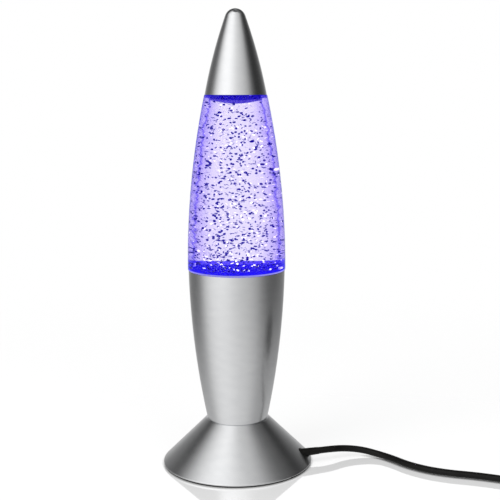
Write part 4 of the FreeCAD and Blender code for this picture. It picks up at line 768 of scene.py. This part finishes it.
# Painted contact shadow in the floor's glow: its reach in metres, its samples and its depth
CONTACT_REACH = 0.0025
CONTACT_SAMPLES = 8
CONTACT_DEPTH = 2.0
FADE_TO_WHITE = (0.25, 0.75)
POLISH_IOR = 1.5
POLISH_STRENGTH = 2.2


def seen_rays(tree):
    """1 for what the camera sees, straight or through glass, and the light path's other outputs."""
    path = tree.nodes.new("ShaderNodeLightPath")
    seen = math_node(tree, "MAXIMUM", path.outputs["Is Camera Ray"], path.outputs["Is Transmission Ray"])
    return seen, path.outputs


def mix_shaders(tree, share, first, second):
    node = tree.nodes.new("ShaderNodeMixShader")
    for socket, value in zip(node.inputs, (share, first, second)):
        tree.links.new(value, socket)
    return node.outputs[0]


def floor_tone(tree, seen):
    """White, with a thin painted contact shadow: its glow dims close to whatever touches it. The matte part
    keeps the real shadow.
    """
    matte = tree.nodes.new("ShaderNodeBsdfDiffuse")
    tree.links.new(times_plus(tree, seen, FLOOR_SEEN_DARKER, FLOOR_WHITE), matte.inputs["Color"])
    contact = tree.nodes.new("ShaderNodeAmbientOcclusion")
    contact.samples = CONTACT_SAMPLES
    contact.inputs["Distance"].default_value = CONTACT_REACH
    untouched = math_node(tree, "POWER", contact.outputs["AO"], CONTACT_DEPTH)
    glow = tree.nodes.new("ShaderNodeEmission")
    # The glow is dimmed into a painted contact shadow
    tree.links.new(times(tree, times(tree, seen, untouched), FLOOR_SEEN_GLOW), glow.inputs["Strength"])
    both = tree.nodes.new("ShaderNodeAddShader")
    tree.links.new(matte.outputs[0], both.inputs[0])
    tree.links.new(glow.outputs[0], both.inputs[1])
    return both.outputs[0]


def fade_to_white(tree, seen, tone):
    """Pure white far from the lamp."""
    white = tree.nodes.new("ShaderNodeEmission")
    white.inputs["Strength"].default_value = 1.0
    place = tree.nodes.new("ShaderNodeTexCoord")
    far = tree.nodes.new("ShaderNodeVectorMath")
    far.operation = "LENGTH"
    tree.links.new(place.outputs["Object"], far.inputs[0])
    distant = smooth_range(tree, far.outputs["Value"], *FADE_TO_WHITE)
    return mix_shaders(tree, times(tree, distant, seen), tone, white.outputs[0])


def polished(tree, tone):
    """A clear mirror image that grows stronger towards level views."""
    polish = tree.nodes.new("ShaderNodeBsdfGlossy")
    polish.inputs["Color"].default_value = (1, 1, 1, 1)
    polish.inputs["Roughness"].default_value = 0.0
    fresnel = tree.nodes.new("ShaderNodeFresnel")
    fresnel.inputs["IOR"].default_value = POLISH_IOR
    strength = times(tree, fresnel.outputs[0], POLISH_STRENGTH)
    return mix_shaders(tree, strength, tone, polish.outputs[0])


def floor_material():
    material = bpy.data.materials.new("floor")
    material.use_nodes = True
    tree = material.node_tree
    tree.nodes.clear()
    seen = seen_rays(tree)[0]
    tone = fade_to_white(tree, seen, floor_tone(tree, seen))
    output = tree.nodes.new("ShaderNodeOutputMaterial")
    tree.links.new(polished(tree, tone), output.inputs["Surface"])
    return material


def make_floor():
    """A level square. Metal doesn't mirror it, but the studio's own table."""
    near, far = -FLOOR_HALF, FLOOR_HALF
    corners = ((near, near, 0), (far, near, 0), (far, far, 0), (near, far, 0))
    floor = new_piece("floor", corners, [(0, 1, 2, 3)], floor_material())
    floor.location.z = FLOOR_HEIGHT
    floor.visible_glossy = False


make_floor()


# Lights: name, azimuth, elevation, distance, size and power, in degrees, metres and watts

LAMP_MIDDLE = Vector((0, 0, 0.17))
LIGHTS = (
    ("key", -45, 35, 1.8, (1.0, 1.6), 24),
    ("fill", 30, 30, 2.2, (1.0, 1.6), 10),
    ("top", 0, 85, 1.6, (1.4, 1.4), 16),
)


def area_light(name, azimuth, elevation, distance, size, power):
    """A soft light that faces the lamp. Azimuth 0 is the viewer's side and 90 the right."""
    data = bpy.data.lights.new(name, "AREA")
    data.shape = "RECTANGLE"
    data.size, data.size_y = size
    data.energy = power
    light = bpy.data.objects.new(name, data)
    light.visible_glossy = False
    scene.collection.objects.link(light)
    a, e = math.radians(azimuth), math.radians(elevation)
    away = Vector((math.sin(a) * math.cos(e), -math.cos(a) * math.cos(e), math.sin(e)))
    light.location = LAMP_MIDDLE + away * distance
    light.rotation_euler = away.to_track_quat("Z", "Y").to_euler()


for light in LIGHTS:
    area_light(*light)


# Studio, as metal mirrors it

# Brightness of the walls by azimuth in degrees, from behind the lamp round by the left
WALLS = (
    (-180, 0.9),
    (-162, 0.62),
    (-146, 0.2),
    (-118, 0.1),
    (-97, 0.2),
    (-80, 0.75),
    (-62, 1.12),
    (-42, 1.25),
    (-22, 1.2),
    (-4, 0.95),
    (14, 0.76),
    (34, 0.64),
    (54, 0.4),
    (70, 0.12),
    (88, 0.02),
    (120, 0.05),
    (145, 0.15),
    (162, 0.4),
    (180, 0.9),
)
WALLS_BRIGHTEST = 1.3
SOFT_LIGHT_AZIMUTH = -35

# Smooth steps over x to the right, y away from the viewer or z up: from, to, and the values there
# where they aren't 0 and 1
SOFT_LIGHT_WIDER = (0.4, 0.8, 0.0, -0.22)
HIGH = (0.4, 0.8)
OVERHEAD = (0.935, 0.985, 1.0, 0.12)
LOWER_WALLS = (-0.35, 0.3, 0.74, 1.0)
BEHIND = (0.2, 0.5)
BEHIND_AND_UP = (0.3, 0.6)
TABLE_BACK = (0.2, 0.9, 0.82, 0.95)
TABLE_RIGHT = (0.3, 1.0, 0.0, -0.3)
TABLE_BELOW = (-0.52, -0.22, 0.45, 0.0)
TABLE_LEVEL = (-0.2, 0.15, 0.08, 0.0)
TABLE_MORE_RIGHT = (0.3, 0.9, 0.0, 0.15)
TABLE_MORE_BELOW = (-0.4, 0.0, 1.0, 0.0)

HIGH_DIMMED = -0.12
HIGH_ADDED = 0.09
BEHIND_DIMMED = -0.85
LIGHT_ON_MATTE = 0.5


def wall_turn(tree, x, y, z):
    """Azimuth in turns from behind the lamp. High up, the soft light's side takes more of the round."""
    azimuth = math_node(tree, "ARCTAN2", x, times(tree, y, -1.0))
    from_light = plus(tree, azimuth, -math.radians(SOFT_LIGHT_AZIMUTH))
    wider = smooth_range(tree, z, *SOFT_LIGHT_WIDER)
    azimuth = times_plus(tree, math_node(tree, "SINE", from_light), wider, azimuth)
    return plus(tree, math_node(tree, "DIVIDE", azimuth, 2 * math.pi), 0.5)


def studio_walls(tree, x, y, z):
    """The walls, dimmed overhead, high up behind the lamp, and down towards the table."""
    stops = [(angle / 360 + 0.5, even(value / WALLS_BRIGHTEST)) for angle, value in WALLS]
    shares = colour_ramp(tree, wall_turn(tree, x, y, z), stops, "B_SPLINE")
    walls = times(tree, shares, WALLS_BRIGHTEST)
    high = smooth_range(tree, z, *HIGH)
    walls = times(tree, walls, times_plus(tree, high, HIGH_DIMMED, 1.0))
    walls = times_plus(tree, high, HIGH_ADDED, walls)
    walls = times(tree, walls, smooth_range(tree, z, *OVERHEAD))
    behind = times(tree, smooth_range(tree, y, *BEHIND), smooth_range(tree, z, *BEHIND_AND_UP))
    walls = times(tree, walls, times_plus(tree, behind, BEHIND_DIMMED, 1.0))
    return times(tree, walls, smooth_range(tree, z, *LOWER_WALLS))


def table_tone(tree, x, y):
    """The far table, brighter towards the back and darker towards the right."""
    return plus(tree, smooth_range(tree, y, *TABLE_BACK), smooth_range(tree, x, *TABLE_RIGHT))


def table_share(tree, x, z):
    """How much of the table shows over the walls, in mirror images that look down or level."""
    anywhere = plus(tree, smooth_range(tree, z, *TABLE_BELOW), smooth_range(tree, z, *TABLE_LEVEL))
    more = times(tree, smooth_range(tree, x, *TABLE_MORE_RIGHT), smooth_range(tree, z, *TABLE_MORE_BELOW))
    return plus(tree, anywhere, more)


def mirrored_studio(tree):
    x, y, z = coordinates(tree, "Generated")
    walls = studio_walls(tree, x, y, z)
    blend = tree.nodes.new("ShaderNodeMix")
    tree.links.new(table_share(tree, x, z), blend.inputs[0])
    tree.links.new(walls, blend.inputs[2])
    tree.links.new(table_tone(tree, x, y), blend.inputs[3])
    return blend.outputs[0]


def make_world():
    """White where it is seen straight. Metal mirrors the studio, and matte pieces get an even light."""
    world = bpy.data.worlds.new("studio")
    world.use_nodes = True
    tree = world.node_tree
    seen, path = seen_rays(tree)
    straight = math_node(tree, "MAXIMUM", seen, path["Is Singular Ray"])
    glossy = path["Is Glossy Ray"]
    mirrored = times(tree, glossy, mirrored_studio(tree))
    matte = times(tree, math_node(tree, "SUBTRACT", 1.0, glossy), LIGHT_ON_MATTE)
    rest = times(tree, math_node(tree, "SUBTRACT", 1.0, straight), plus(tree, mirrored, matte))
    background = tree.nodes["Background"]
    background.inputs["Color"].default_value = (1, 1, 1, 1)
    tree.links.new(plus(tree, straight, rest), background.inputs["Strength"])
    scene.world = world


make_world()
scene.view_settings.view_transform = "Standard"
